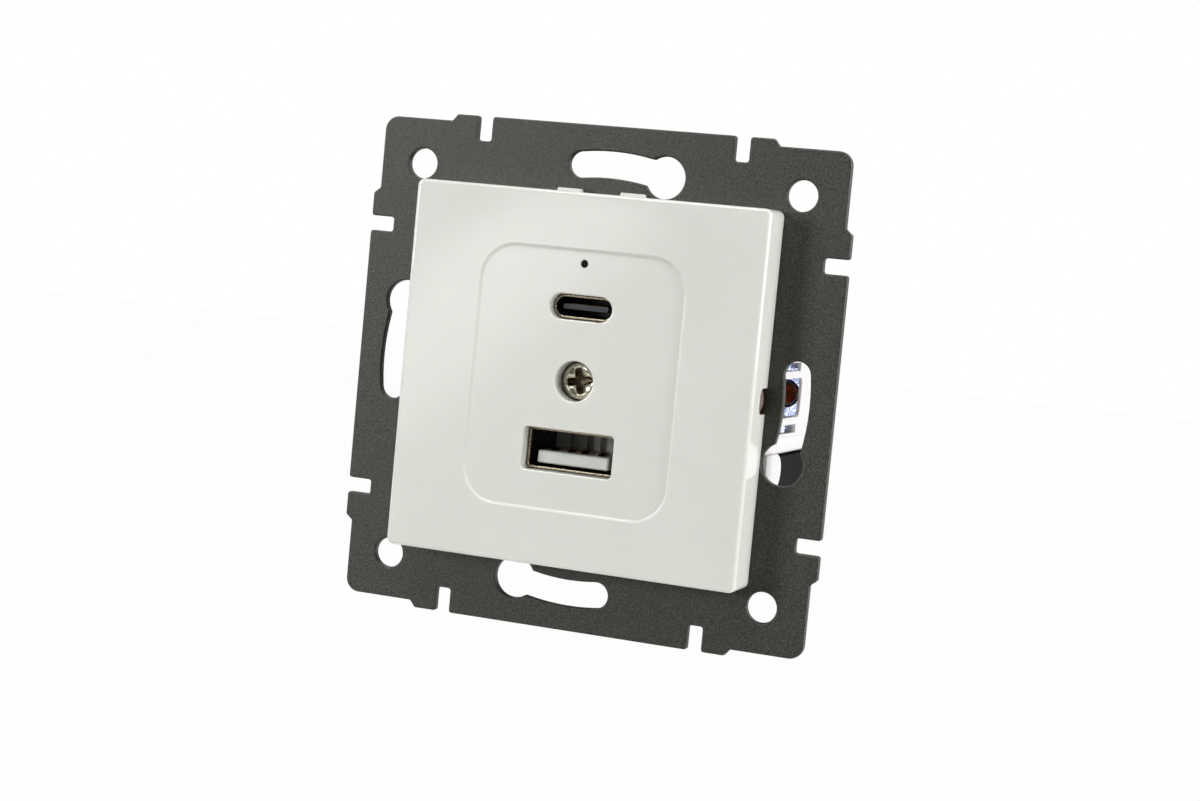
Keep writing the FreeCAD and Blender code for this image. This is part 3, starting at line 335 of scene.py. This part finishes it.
def nickel_screw():
    """Bright nickel, with painted shade down in the cover screw's recess."""
    material, shader, place, edges = start_material("nickel_plated_screw", 0.05, {"Metallic": 1.0})
    marks = drawn_marks(material, place, (0.5, 0.5, 0.5))
    bright = add(material, "ValToRGB", {"stops": [(0.3, "#b5af9b"), (0.7, "#d6d2c1")]},
                 {"Fac": marks})
    parts = add(material, "SeparateXYZ", {}, {"Vector": place}).outputs
    depth = add(material, "MapRange", {
        "From Min": RECESS_FACE * MM, "From Max": RECESS_FULL_SHADE * MM, "To Min": 0.0, "To Max": 1.0},
        {"Value": parts["Y"]})
    flat = add(material, "CombineXYZ", {}, {"X": parts["X"], "Z": parts["Z"]}).outputs[0]
    reach = add(material, "VectorMath", {"operation": "LENGTH"}, {0: flat}).outputs["Value"]
    inside = add(material, "MapRange", {
        "From Min": RECESS_FADE * MM, "From Max": RECESS_REACH * MM, "To Min": 0.0, "To Max": 1.0},
        {"Value": reach})
    painted_shade = add(material, "Math", {"operation": "MULTIPLY"},
                {0: depth.outputs["Result"], 1: inside.outputs["Result"]}).outputs[0]
    # Painted shade: the nickel turns brown down in the recess.
    colour = add(material, "Mix", {"data_type": "RGBA", 7: linear("#5d5140")},
                 {0: painted_shade, 6: bright.outputs["Color"]})
    matt = add(material, "MapRange", {"From Min": 0.0, "From Max": 1.0, "To Min": 0.24,
                                      "To Max": 0.45}, {"Value": painted_shade})
    scored = add(material, "Bump", {"Distance": 0.004 * MM, "Strength": 0.5},
                 {"Height": marks, "Normal": edges})
    connect(material, shader, {
        "Base Color": colour.outputs[2], "Roughness": matt.outputs["Result"],
        "Normal": scored.outputs["Normal"]})
    return material


finishes.append(nickel_screw())
print("recess brown from", RECESS_FACE, "to", RECESS_FULL_SHADE, "mm along Y")

# %% [markdown]
# ## The two zincs
# The long claw screws are yellow zinc, whose film is a few hundred nanometres thick and shifts
# with its thickness from olive through amber to red. Noise picks a colour from the film's bands,
# which is simpler than working out the light's interference and gives the same drifting patches.
#
# The claws, their nuts, and the terminals' clamps and screws are blue zinc, which is bluish and
# shows its crystals. They could be noise too, but cells with an even shade each look more like
# facets. Real ones are a few hundredths of a millimetre across, too fine to show, so they are
# drawn at 0.16 mm. The plating is so matt that it scatters most of its light, so it is drawn
# only a little metallic.

# %% Yellow zinc
def yellow_zinc():
    """Bands of the passivation film: noise of 2.2 mm picks the film's colour."""
    material, shader, place, edges = start_material("yellow_zinc", 0.06, {
        "Metallic": 0.95, "Specular Tint": linear("#b87838")})
    warp = add(material, "TexNoise", {"Scale": 1 / (2.2 * MM), "Detail": 3.0},
               {"Vector": place}).outputs["Fac"]
    fine = add(material, "TexNoise", {"Scale": 1 / (0.25 * MM), "Detail": 3.0},
               {"Vector": place}).outputs["Fac"]
    bands = [(0.34, "#5a4a14"), (0.44, "#a8641e"), (0.50, "#d68a44"), (0.56, "#9c3f2a"),
             (0.62, "#b07a20"), (0.72, "#6b661c")]
    film = add(material, "ValToRGB", {"stops": bands}, {"Fac": warp})
    matt = add(material, "MapRange", {"From Min": 0.3, "From Max": 0.7, "To Min": 0.20,
                                      "To Max": 0.36}, {"Value": fine})
    grainy = add(material, "Bump", {"Distance": 0.006 * MM, "Strength": 0.5},
                 {"Height": fine, "Normal": edges})
    connect(material, shader, {
        "Base Color": film.outputs["Color"], "Roughness": matt.outputs["Result"],
        "Normal": grainy.outputs["Normal"]})
    return material


finishes.append(yellow_zinc())
print(finishes[-1].name, "has", len(finishes[-1].node_tree.nodes), "nodes")

# %% Blue zinc
def blue_zinc():
    """Crystals of zinc: cells of 0.16 mm, each a little lighter or darker and raised."""
    material, shader, place, edges = start_material("blue_zinc", 0.08, {"Metallic": 0.15})
    cells = add(material, "TexVoronoi", {"Scale": 1 / (0.16 * MM)}, {"Vector": place})
    shade = add(material, "SeparateColor", {}, {"Color": cells.outputs["Color"]}).outputs[0]
    crystals = add(material, "ValToRGB", {"stops": [(0.0, "#5a6a9c"), (0.55, "#98a5cb"),
                                                    (0.9, "#ffffff")]}, {"Fac": shade})
    matt = add(material, "MapRange", {"From Min": 0.0, "From Max": 1.0, "To Min": 0.34,
                                      "To Max": 0.52}, {"Value": shade})
    facets = add(material, "Bump", {"Distance": 0.020 * MM, "Strength": 0.6},
                 {"Height": shade, "Normal": edges})
    connect(material, shader, {
        "Base Color": crystals.outputs["Color"], "Roughness": matt.outputs["Result"],
        "Normal": facets.outputs["Normal"]})
    return material


finishes.append(blue_zinc())
print(len(finishes), "finishes so far")

# %% [markdown]
# ## Boards, cores and coats
# What the housing hides still has its own stuff: glass-fibre boards under green solder mask,
# ferrite with fine pores, polyester tape wound in turns, shrink sleeves and dipped epoxy. Their
# bodies are dull and even, so one function with pores or grains of a given size covers most. The
# board gets cell borders that pass for tracks, and the tape gets a saw-tooth wave.

# %% Solder mask
def solder_mask_green():
    """Mask over copper: borders of 2.6 mm cells lift and lighten the mask like tracks."""
    material, shader, place, edges = start_material("solder_mask_green", 0.05,
                                                    {"Roughness": 0.30})
    cells = add(material, "TexVoronoi", {"Scale": 1 / (2.6 * MM), "distance": "MANHATTAN"},
                {"Vector": place})
    tracks = add(material, "MapRange", {"From Min": 0.46, "From Max": 0.50, "To Min": 0.0,
                                        "To Max": 1.0},
                 {"Value": cells.outputs["Distance"]}).outputs["Result"]
    mask = add(material, "ValToRGB", {"stops": [(0.2, "#1c5a34"), (0.8, "#2a7a45")]},
               {"Fac": tracks})
    lifted = add(material, "Bump", {"Distance": 0.035 * MM, "Strength": 0.8},
                 {"Height": tracks, "Normal": edges})
    connect(material, shader, {"Base Color": mask.outputs["Color"],
                               "Normal": lifted.outputs["Normal"]})
    return material


finishes.append(solder_mask_green())
print(finishes[-1].name, "has", len(finishes[-1].node_tree.nodes), "nodes")

# %% Bodies with grains or pores
def grained(name, light, dark, roughness, grain_mm, depth_mm, edge_mm=0.10):
    """A dull body with pores or grains of grain_mm."""
    material, shader, place, edges = start_material(name, edge_mm, {"Roughness": roughness})
    pores = add(material, "TexNoise", {"Scale": 1 / (grain_mm * MM), "Detail": 4.0,
                                       "Roughness": 0.6}, {"Vector": place}).outputs["Fac"]
    shade = add(material, "ValToRGB", {"stops": [(0.3, dark), (0.7, light)]}, {"Fac": pores})
    pitted = add(material, "Bump", {"Distance": depth_mm * MM, "Strength": 0.7},
                 {"Height": pores, "Normal": edges})
    connect(material, shader, {"Base Color": shade.outputs["Color"],
                               "Normal": pitted.outputs["Normal"]})
    return material


finishes += [
    grained("moulded_epoxy_black", "#26262a", "#1b1b1e", 0.55, 0.10, 0.010),
    grained("sintered_ferrite", "#4a4a4c", "#363638", 0.6, 0.18, 0.030),
    grained("shrink_sleeve_blue", "#20305e", "#182449", 0.32, 3.0, 0.030),
    grained("dipped_epoxy_blue", "#2f6fa8", "#275f93", 0.25, 1.5, 0.080),
    grained("resistor_lacquer", "#7a8a6c", "#66755a", 0.5, 0.5, 0.020),
]
print(len(finishes), "finishes so far")

# %% Wound tape
def wound_tape():
    """Polyester tape: turns 0.9 mm wide along Z, each edge a small step."""
    material, shader, place, edges = start_material("polyester_tape_yellow", 0.10,
                                                    {"Roughness": 0.22})
    steps = add(material, "TexWave", {
        "Scale": 1 / (0.9 * MM) / math.tau, "wave_profile": "SAW", "bands_direction": "Z",
        "Distortion": 0.4}, {"Vector": place}).outputs["Fac"]
    shade = add(material, "ValToRGB", {"stops": [(0.0, "#d9a520"), (0.9, "#edc24a")]},
                {"Fac": steps})
    stepped = add(material, "Bump", {"Distance": 0.04 * MM, "Strength": 0.8},
                  {"Height": steps, "Normal": edges})
    connect(material, shader, {"Base Color": shade.outputs["Color"],
                               "Normal": stepped.outputs["Normal"]})
    return material


finishes.append(wound_tape())
print(len(finishes), "finishes made")

# %% [markdown]
# ## Dressing the frame
# Each node keeps its own mesh and gets one finish, because each is one piece of one stuff on the
# real object. A table from finish to nodes shows at a glance what is made of the same stuff.

# %% A finish for every node
FINISHES = {material.name: material for material in finishes}
NODE_FINISHES = {
    "powder_coated_steel": ["mounting_plate"],
    "glossy_abs_white": ["front_cover"],
    "satin_polypropylene_white": ["front_housing"],
    "eroded_nylon_black": ["rear_housing"],
    "liquid_crystal_polymer_white": ["usb_a_insulator"],
    "liquid_crystal_polymer_black": ["usb_c_tongue"],
    "red_tinted_acrylic": ["light_pipe"],
    "cast_epoxy_red": ["indicator_led"],
    "nickel_plated_steel": ["usb_a_shell", "usb_c_shell", "usb_c_mid_plate"],
    "nickel_plated_screw": ["cover_screw", "plate_screws"],
    "gold_plated_contact": ["usb_a_contacts", "usb_c_contacts"],
    "turned_brass": ["cover_screw_insert", "terminal_bar_right", "terminal_bar_left"],
    "tinned_copper": ["board_link_pins"],
    "yellow_zinc": ["claw_screw_right", "claw_screw_left"],
    "blue_zinc": ["claw_right", "claw_left", "claw_nut_right", "claw_nut_left",
                  "terminal_clamp_right", "terminal_clamp_left", "terminal_screw_right",
                  "terminal_screw_left"],
    "solder_mask_green": ["socket_board", "power_board"],
    "moulded_epoxy_black": ["charge_controller", "switching_controller", "bridge_rectifier"],
    "sintered_ferrite": ["transformer_core"],
    "polyester_tape_yellow": ["transformer_winding"],
    "shrink_sleeve_blue": ["input_capacitors", "output_capacitor"],
    "dipped_epoxy_blue": ["interference_capacitor"],
    "resistor_lacquer": ["fuse_resistor"],
}
for finish, nodes in NODE_FINISHES.items():
    for node in nodes:
        mesh = frame["nodes"][node].data
        mesh.materials.clear()
        mesh.materials.append(FINISHES[finish])
dressed = sum(len(nodes) for nodes in NODE_FINISHES.values())
print(dressed, "nodes dressed of", len(frame["nodes"]))

# %% [markdown]
# ## Screw threads
# The construction model has plain shanks. Here each shank's surface is swapped for a threaded
# one, computed as a grid of angle and length. A ridge swept along a helix would also do, but it
# has to be joined to the shank, and the grid is one surface all the way round.
#
# With pitch p, the radius at angle a and length y is r - d * v(y / p - a / 2 pi), where v is a
# V-shaped wave and d the thread's depth. The thread starts after a plain neck, and its last turn
# tapers to the tip.

# %% The surface of one thread
THREAD_COLUMNS = 40
ROWS_PER_TURN = 8
THREAD_DEPTH = 0.54          # share of the pitch
THREAD_SLOPE = 1.25          # steeper than 1, which leaves a flat root
THREAD_CREST = 0.12          # taken off the wave, which leaves a flat crest
TIP_TAPER = 0.3              # share of the radius that the tip tapers by


def thread_grid(axis, radius, seat, tip, pitch, plain):
    """Points and faces of one threaded shank about the line (x, z) = axis, all in mm.

    The radius is the plain one less the depth times a wave. The wave is the distance from the
    middle of a turn, doubled, steepened by the slope, lowered by the crest, and kept in 0 to 1.
    The depth grows from 0 over the first turn after the plain neck. Near the tip, the radius is
    at most the tapered one plus the length that is left.
    """
    step = 1 if tip > seat else -1
    length = abs(tip - seat)
    rows = int(length / pitch * ROWS_PER_TURN) + 1
    along = np.linspace(0.0, length, rows)[:, None]
    angle = np.linspace(0.0, math.tau, THREAD_COLUMNS, endpoint=False)[None, :]
    phase = np.mod(along / pitch - angle / math.tau, 1.0)
    wave = np.clip(np.abs(2 * phase - 1) * THREAD_SLOPE - THREAD_CREST, 0.0, 1.0)
    depth = THREAD_DEPTH * pitch * np.clip((along - plain) / pitch, 0.0, 1.0)
    reach = np.minimum(radius - depth * wave, radius - TIP_TAPER * radius + (length - along))
    x = axis[0] + reach * np.cos(angle)
    z = axis[1] + reach * np.sin(angle)
    y = seat + step * along + 0 * angle
    points = np.stack([x, y, z], axis=-1).reshape(-1, 3)
    row, column = np.meshgrid(np.arange(rows - 1), np.arange(THREAD_COLUMNS), indexing="ij")
    beside = (column + 1) % THREAD_COLUMNS
    here, right = row * THREAD_COLUMNS + column, row * THREAD_COLUMNS + beside
    quads = np.stack([here, right, right + THREAD_COLUMNS, here + THREAD_COLUMNS], axis=-1)
    if step > 0:
        quads = quads[..., ::-1]
    last = (rows - 1) * THREAD_COLUMNS + np.arange(THREAD_COLUMNS)
    end = last[::-1] if step < 0 else last
    return points, quads.reshape(-1, 4).tolist() + [end.tolist()]


sample_points, sample_faces = thread_grid((0, 0), 1.5, 0.0, 5.0, 0.5, 0.0)
print("ten turns take", len(sample_points), "points and", len(sample_faces), "faces")

# %% [markdown]
# ## Threaded copies of the screws
# A node's own mesh stays as it is. A merged copy loses the faces that lie on its plain shanks,
# gets the threaded surface in their place, and is shown instead of the node, on the same body.
# So the head keeps the construction model's shape, and the thread turns with its screw.

# %% Threaded screws
NEAR_SHANK = 0.01            # mm that a point may lie off the shank and still belong to it
MERGE_DISTANCE = 0.0005      # mm
SHARP_ANGLE = 34             # degrees between two faces, past which their edge is drawn sharp


def threaded(node, body, finish, axes, radius, seat, tip, pitch, plain=0.0):
    """A merged copy of a node whose plain shanks are swapped for threaded ones."""
    bm = bmesh.new()
    bm.from_mesh(frame["nodes"][node].data)
    bmesh.ops.remove_doubles(bm, verts=bm.verts, dist=MERGE_DISTANCE * MM)
    low, high = min(seat, tip) - NEAR_SHANK, max(seat, tip) + NEAR_SHANK

    def on_shank(point):
        near = min(math.hypot(point.x / MM - x, point.z / MM - z) for x, z in axes)
        return near < radius + NEAR_SHANK and low < point.y / MM < high

    shank = [face for face in bm.faces if all(on_shank(vert.co) for vert in face.verts)]
    bmesh.ops.delete(bm, geom=shank, context="FACES")
    for axis in axes:
        points, faces = thread_grid(axis, radius, seat, tip, pitch, plain)
        turns = bpy.data.meshes.new("turns")
        turns.from_pydata((points * MM).tolist(), [], faces)
        bm.from_mesh(turns)
        bpy.data.meshes.remove(turns)
    bmesh.ops.remove_doubles(bm, verts=bm.verts, dist=MERGE_DISTANCE * MM)
    mesh = bpy.data.meshes.new(node + "_threaded")
    bm.to_mesh(mesh)
    bm.free()
    mesh.shade_smooth()
    mesh.set_sharp_from_angle(angle=math.radians(SHARP_ANGLE))
    mesh.materials.clear()
    mesh.materials.append(FINISHES[finish])
    piece = bpy.data.objects.new(node + "_threaded", mesh)
    bpy.context.collection.objects.link(piece)
    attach(piece, body)
    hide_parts(node)
    return piece


PLATE_SCREWS = [(x, z) for x in (-13.0, 13.0) for z in (-21.8, 21.8)]
threads = [threaded("cover_screw", "unit", "nickel_plated_screw", [(0, 0)], 1.5,
                    -2.8, 5.2, 0.5, plain=1.2),
           threaded("plate_screws", "unit", "nickel_plated_screw", PLATE_SCREWS,
                    1.0, -1.0, 2.4, 0.45)]
for side, sign in (("right", 1), ("left", -1)):
    claw_screw, terminal_screw = "claw_screw_" + side, "terminal_screw_" + side
    threads.append(threaded(claw_screw, claw_screw, "yellow_zinc",
                            [(sign * 22.3, 0)], 1.5, -0.9, 27.5, 0.5, plain=4.2))
    threads.append(threaded(terminal_screw, terminal_screw, "blue_zinc",
                            [(sign * 6.5, -19.0)], 1.5, 30.5, 26.85, 0.5))
print(len(threads), "threaded screws,", sum(len(t.data.polygons) for t in threads), "faces")

# %% [markdown]
# ## Floor and world
# The floor is plain and pale, well below the socket. The photograph has a white background and
# white edges round every hole. So floor and world are white for the camera, in reflections and
# through glass, and the world is dim where it lights the object, so that it doesn't bleach the
# plastic. The floor keeps a trace of its real shade, and with it the object's shadow.

# %% Floor
FLOOR_LEVEL = -0.16


def stand(name, points, faces, material):
    """A piece of the studio, which isn't part of the socket."""
    mesh = bpy.data.meshes.new(name)
    mesh.from_pydata(points, [], faces)
    piece = bpy.data.objects.new(name, mesh)
    bpy.context.collection.objects.link(piece)
    mesh.materials.append(material)
    piece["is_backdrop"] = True


def seen_ray(tree_owner):
    """1 for a ray from the camera, off a glossy surface or through glass, and otherwise 0."""
    path = add(tree_owner, "LightPath").outputs
    mirrored = add(tree_owner, "Math", {"operation": "MAXIMUM"},
                   {0: path["Is Camera Ray"], 1: path["Is Glossy Ray"]})
    return add(tree_owner, "Math", {"operation": "MAXIMUM"},
               {0: mirrored.outputs[0], 1: path["Is Transmission Ray"]}).outputs[0]


def floor(size, level, whiteness):
    """A square of pale floor that glows white, whiteness of it, where it is seen."""
    material = bpy.data.materials.new("pale_floor")
    material.use_nodes = True
    shader = material.node_tree.nodes["Principled BSDF"]
    shader.inputs["Base Color"].default_value = linear("#f4f4f2")
    shader.inputs["Roughness"].default_value = 0.9
    weight = add(material, "Math", {"operation": "MULTIPLY", 1: whiteness},
                 {0: seen_ray(material)}).outputs[0]
    glow = add(material, "Emission", {"Color": (1, 1, 1, 1), "Strength": 1.0}).outputs[0]
    mix = add(material, "MixShader", {}, {0: weight, 1: shader.outputs[0], 2: glow}).outputs[0]
    connect(material, material.node_tree.nodes["Material Output"], {"Surface": mix})
    corners = [(-size, -size, level), (size, -size, level), (size, size, level),
               (-size, size, level)]
    stand("floor", corners, [(0, 1, 2, 3)], material)


floor(size=3.0, level=FLOOR_LEVEL, whiteness=0.98)
print("floor", round((frame_low[2] - FLOOR_LEVEL) / MM, 1), "mm below the plate's lower edge")

# %% World
WORLD_LIGHT = 0.07


def world(strength):
    """White where it is seen, and of the given strength where it lights the object."""
    scene_world = bpy.data.worlds.new("studio")
    bpy.context.scene.world = scene_world
    scene_world.use_nodes = True
    background = scene_world.node_tree.nodes["Background"]
    background.inputs["Color"].default_value = (1, 1, 1, 1)
    power = add(scene_world, "MapRange", {"From Min": 0.0, "From Max": 1.0, "To Min": strength,
                                          "To Max": 1.0}, {"Value": seen_ray(scene_world)})
    connect(scene_world, background, {"Strength": power.outputs["Result"]})


world(strength=WORLD_LIGHT)
print("world is white where it is seen, and", WORLD_LIGHT, "where it lights the object")

# %% [markdown]
# ## The room behind the camera
# The photograph's plate and metals are dark in spite of the white background, because the room
# behind its camera was. The metals could be painted darker, but then they would be as dark from
# every side. So a grey floor and wall stand there, for the front to mirror.

# %% Room behind the camera
ROOM_START, ROOM_WALL = 0.25, 1.7


def room_behind_camera(start, wall, floor_level, top, half_width, strength):
    """A grey floor and wall for reflections on the front, white where a camera sees them."""
    material = bpy.data.materials.new("grey_wall")
    material.use_nodes = True
    camera_ray = add(material, "LightPath").outputs["Is Camera Ray"]
    power = add(material, "MapRange", {"From Min": 0.0, "From Max": 1.0, "To Min": strength,
                                       "To Max": 1.0}, {"Value": camera_ray}).outputs["Result"]
    glow = add(material, "Emission", {"Color": (1, 1, 1, 1)}, {"Strength": power}).outputs[0]
    connect(material, material.node_tree.nodes["Material Output"], {"Surface": glow})
    profile = [(-start, floor_level), (-wall, floor_level), (-wall, top)]
    corners = [(x, y, z) for y, z in profile for x in (-half_width, half_width)]
    stand("room_behind_camera", corners, [(0, 1, 3, 2), (2, 3, 5, 4)], material)


room_behind_camera(start=ROOM_START, wall=ROOM_WALL, floor_level=-0.158, top=1.5,
                   half_width=2.0, strength=0.16)
print("grey room from", ROOM_START, "to", ROOM_WALL, "m in front of the socket")

# %% [markdown]
# ## Lamps
# Three soft square lamps light the socket. The left one stands near the place that the plate
# mirrors to the camera, and gives the plate's left side its sheen. Its right edge stays clear of
# the place that the glossy cover mirrors. The one above lights the front, with a dark upper and a
# bright lower edge round the sunk panel. The right one lights the cover's side wall and the
# charger's flank.
#
# The claw lies in a dark pocket behind the plate's slot. A wider lamp in front would light it but
# bleach the plate, so a narrow beam along the camera's line is linked to the claw and its screw
# alone.

# %% Soft lamps
def aim(name, data, place, target):
    """Puts a lamp at place, turned so that its -Z points at target, all in metres."""
    holder = bpy.data.objects.new(name, data)
    bpy.context.collection.objects.link(holder)
    away = (Vector(place) - Vector(target)).normalized()
    holder.rotation_euler = away.to_track_quat("Z", "Y").to_euler()
    holder.location = place
    return holder


def softbox(name, place, side, watts):
    """A square lamp that faces the socket."""
    data = bpy.data.lights.new(name, "AREA")
    data.shape = "SQUARE"
    data.size = side
    data.energy = watts
    aim(name, data, place, (0, 0, 0))


softbox("sheen_left", place=(-0.62, -0.80, 0.17), side=0.36, watts=4.8)
softbox("key_top", place=(-0.20, -0.42, 0.82), side=0.36, watts=4.7)
softbox("side_right", place=(0.90, -0.055, 0.18), side=0.45, watts=8.0)
print("soft lamps:", ", ".join(light.name for light in bpy.data.lights))

# %% The narrow beam
def snoot(name, place, target, angle, watts, nodes):
    """A narrow soft-edged beam, angle in degrees across, linked to a few pieces alone."""
    data = bpy.data.lights.new(name, "SPOT")
    data.spot_size = math.radians(angle)
    data.spot_blend = 0.6
    data.shadow_soft_size = 0.008
    data.energy = watts
    lit = bpy.data.collections.new(name + "_lights")
    for node in nodes:
        lit.objects.link(bpy.data.objects[node])
    aim(name, data, place, target).light_linking.receiver_collection = lit


BEAM_LIGHTS = ("claw_right", "claw_screw_right_threaded")
snoot("slot_beam", place=(0.145, -0.437, 0.024), target=(0.027, 0.008, -0.001), angle=2.8,
      watts=15.0, nodes=BEAM_LIGHTS)
print("the narrow beam lights", " and ".join(BEAM_LIGHTS))

# %% [markdown]
# ## A round reflector
# The photograph has a faint round glare on the glossy cover's upper left. Painted on, it would
# stay there from every side, so a disc stands where the cover mirrors it to the camera. Only the
# part of it past a soft straight edge glows, which gives the glare its shape. A camera that sees
# the disc itself sees it white, like the background.

# %% Round reflector
REFLECTOR_PLACE = (-0.352, -0.943, -0.065)
CHORD_SIDE = (-0.74, 0.0, 0.68)       # the way from the disc's middle to its bright part
CHORD_START, CHORD_END = 0.20, 0.50   # shares of the radius over which the glow comes up


def round_reflector(centre, radius, dim, bright):
    """A disc facing the socket: dim, but bright past a soft chord on its upper left.

    A point of the rim is the centre plus the radius times cos a across and sin a up. How far a
    point lies towards the chord's side, in shares of the radius, sets how bright it is.
    """
    material = bpy.data.materials.new("lit_reflector")
    material.use_nodes = True
    place = add(material, "TexCoord").outputs["Object"]
    offset = add(material, "VectorMath", {"operation": "SUBTRACT", 1: centre},
                 {0: place}).outputs[0]
    towards = add(material, "VectorMath", {"operation": "DOT_PRODUCT", 1: CHORD_SIDE},
                  {0: offset}).outputs["Value"]
    power = add(material, "MapRange", {
        "From Min": CHORD_START * radius, "From Max": CHORD_END * radius, "To Min": dim,
        "To Max": bright}, {"Value": towards}).outputs["Result"]
    camera_ray = add(material, "LightPath").outputs["Is Camera Ray"]
    shown = add(material, "Mix", {3: 1.0}, {0: camera_ray, 2: power}).outputs[0]
    glow = add(material, "Emission", {"Color": (1, 1, 1, 1)}, {"Strength": shown}).outputs[0]
    connect(material, material.node_tree.nodes["Material Output"], {"Surface": glow})
    middle, away = Vector(centre), Vector(centre).normalized()
    across = Vector((0, 0, 1)).cross(away).normalized()
    up = away.cross(across)
    angle = np.linspace(0.0, math.tau, 64, endpoint=False)[:, None]
    rim = np.array(middle) + (np.cos(angle) * across + np.sin(angle) * up) * radius
    stand("round_reflector", rim.tolist(), [tuple(range(len(rim)))], material)


round_reflector(centre=REFLECTOR_PLACE, radius=0.106, dim=0.0, bright=2.6)
print("reflector", round(Vector(REFLECTOR_PLACE).length, 2), "m from the socket")

# %% [markdown]
# ## Sizes
# The dressed model's box is set against the construction model's, and the growth on each side
# is printed, which is 0 when nothing sticks out.

# %% Sizes of the dressed model
low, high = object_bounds()
grown = [round((a - b) / MM, 3) for a, b in zip((*low, *high), (*frame_low, *frame_high))]
print("grown by mm:", grown)
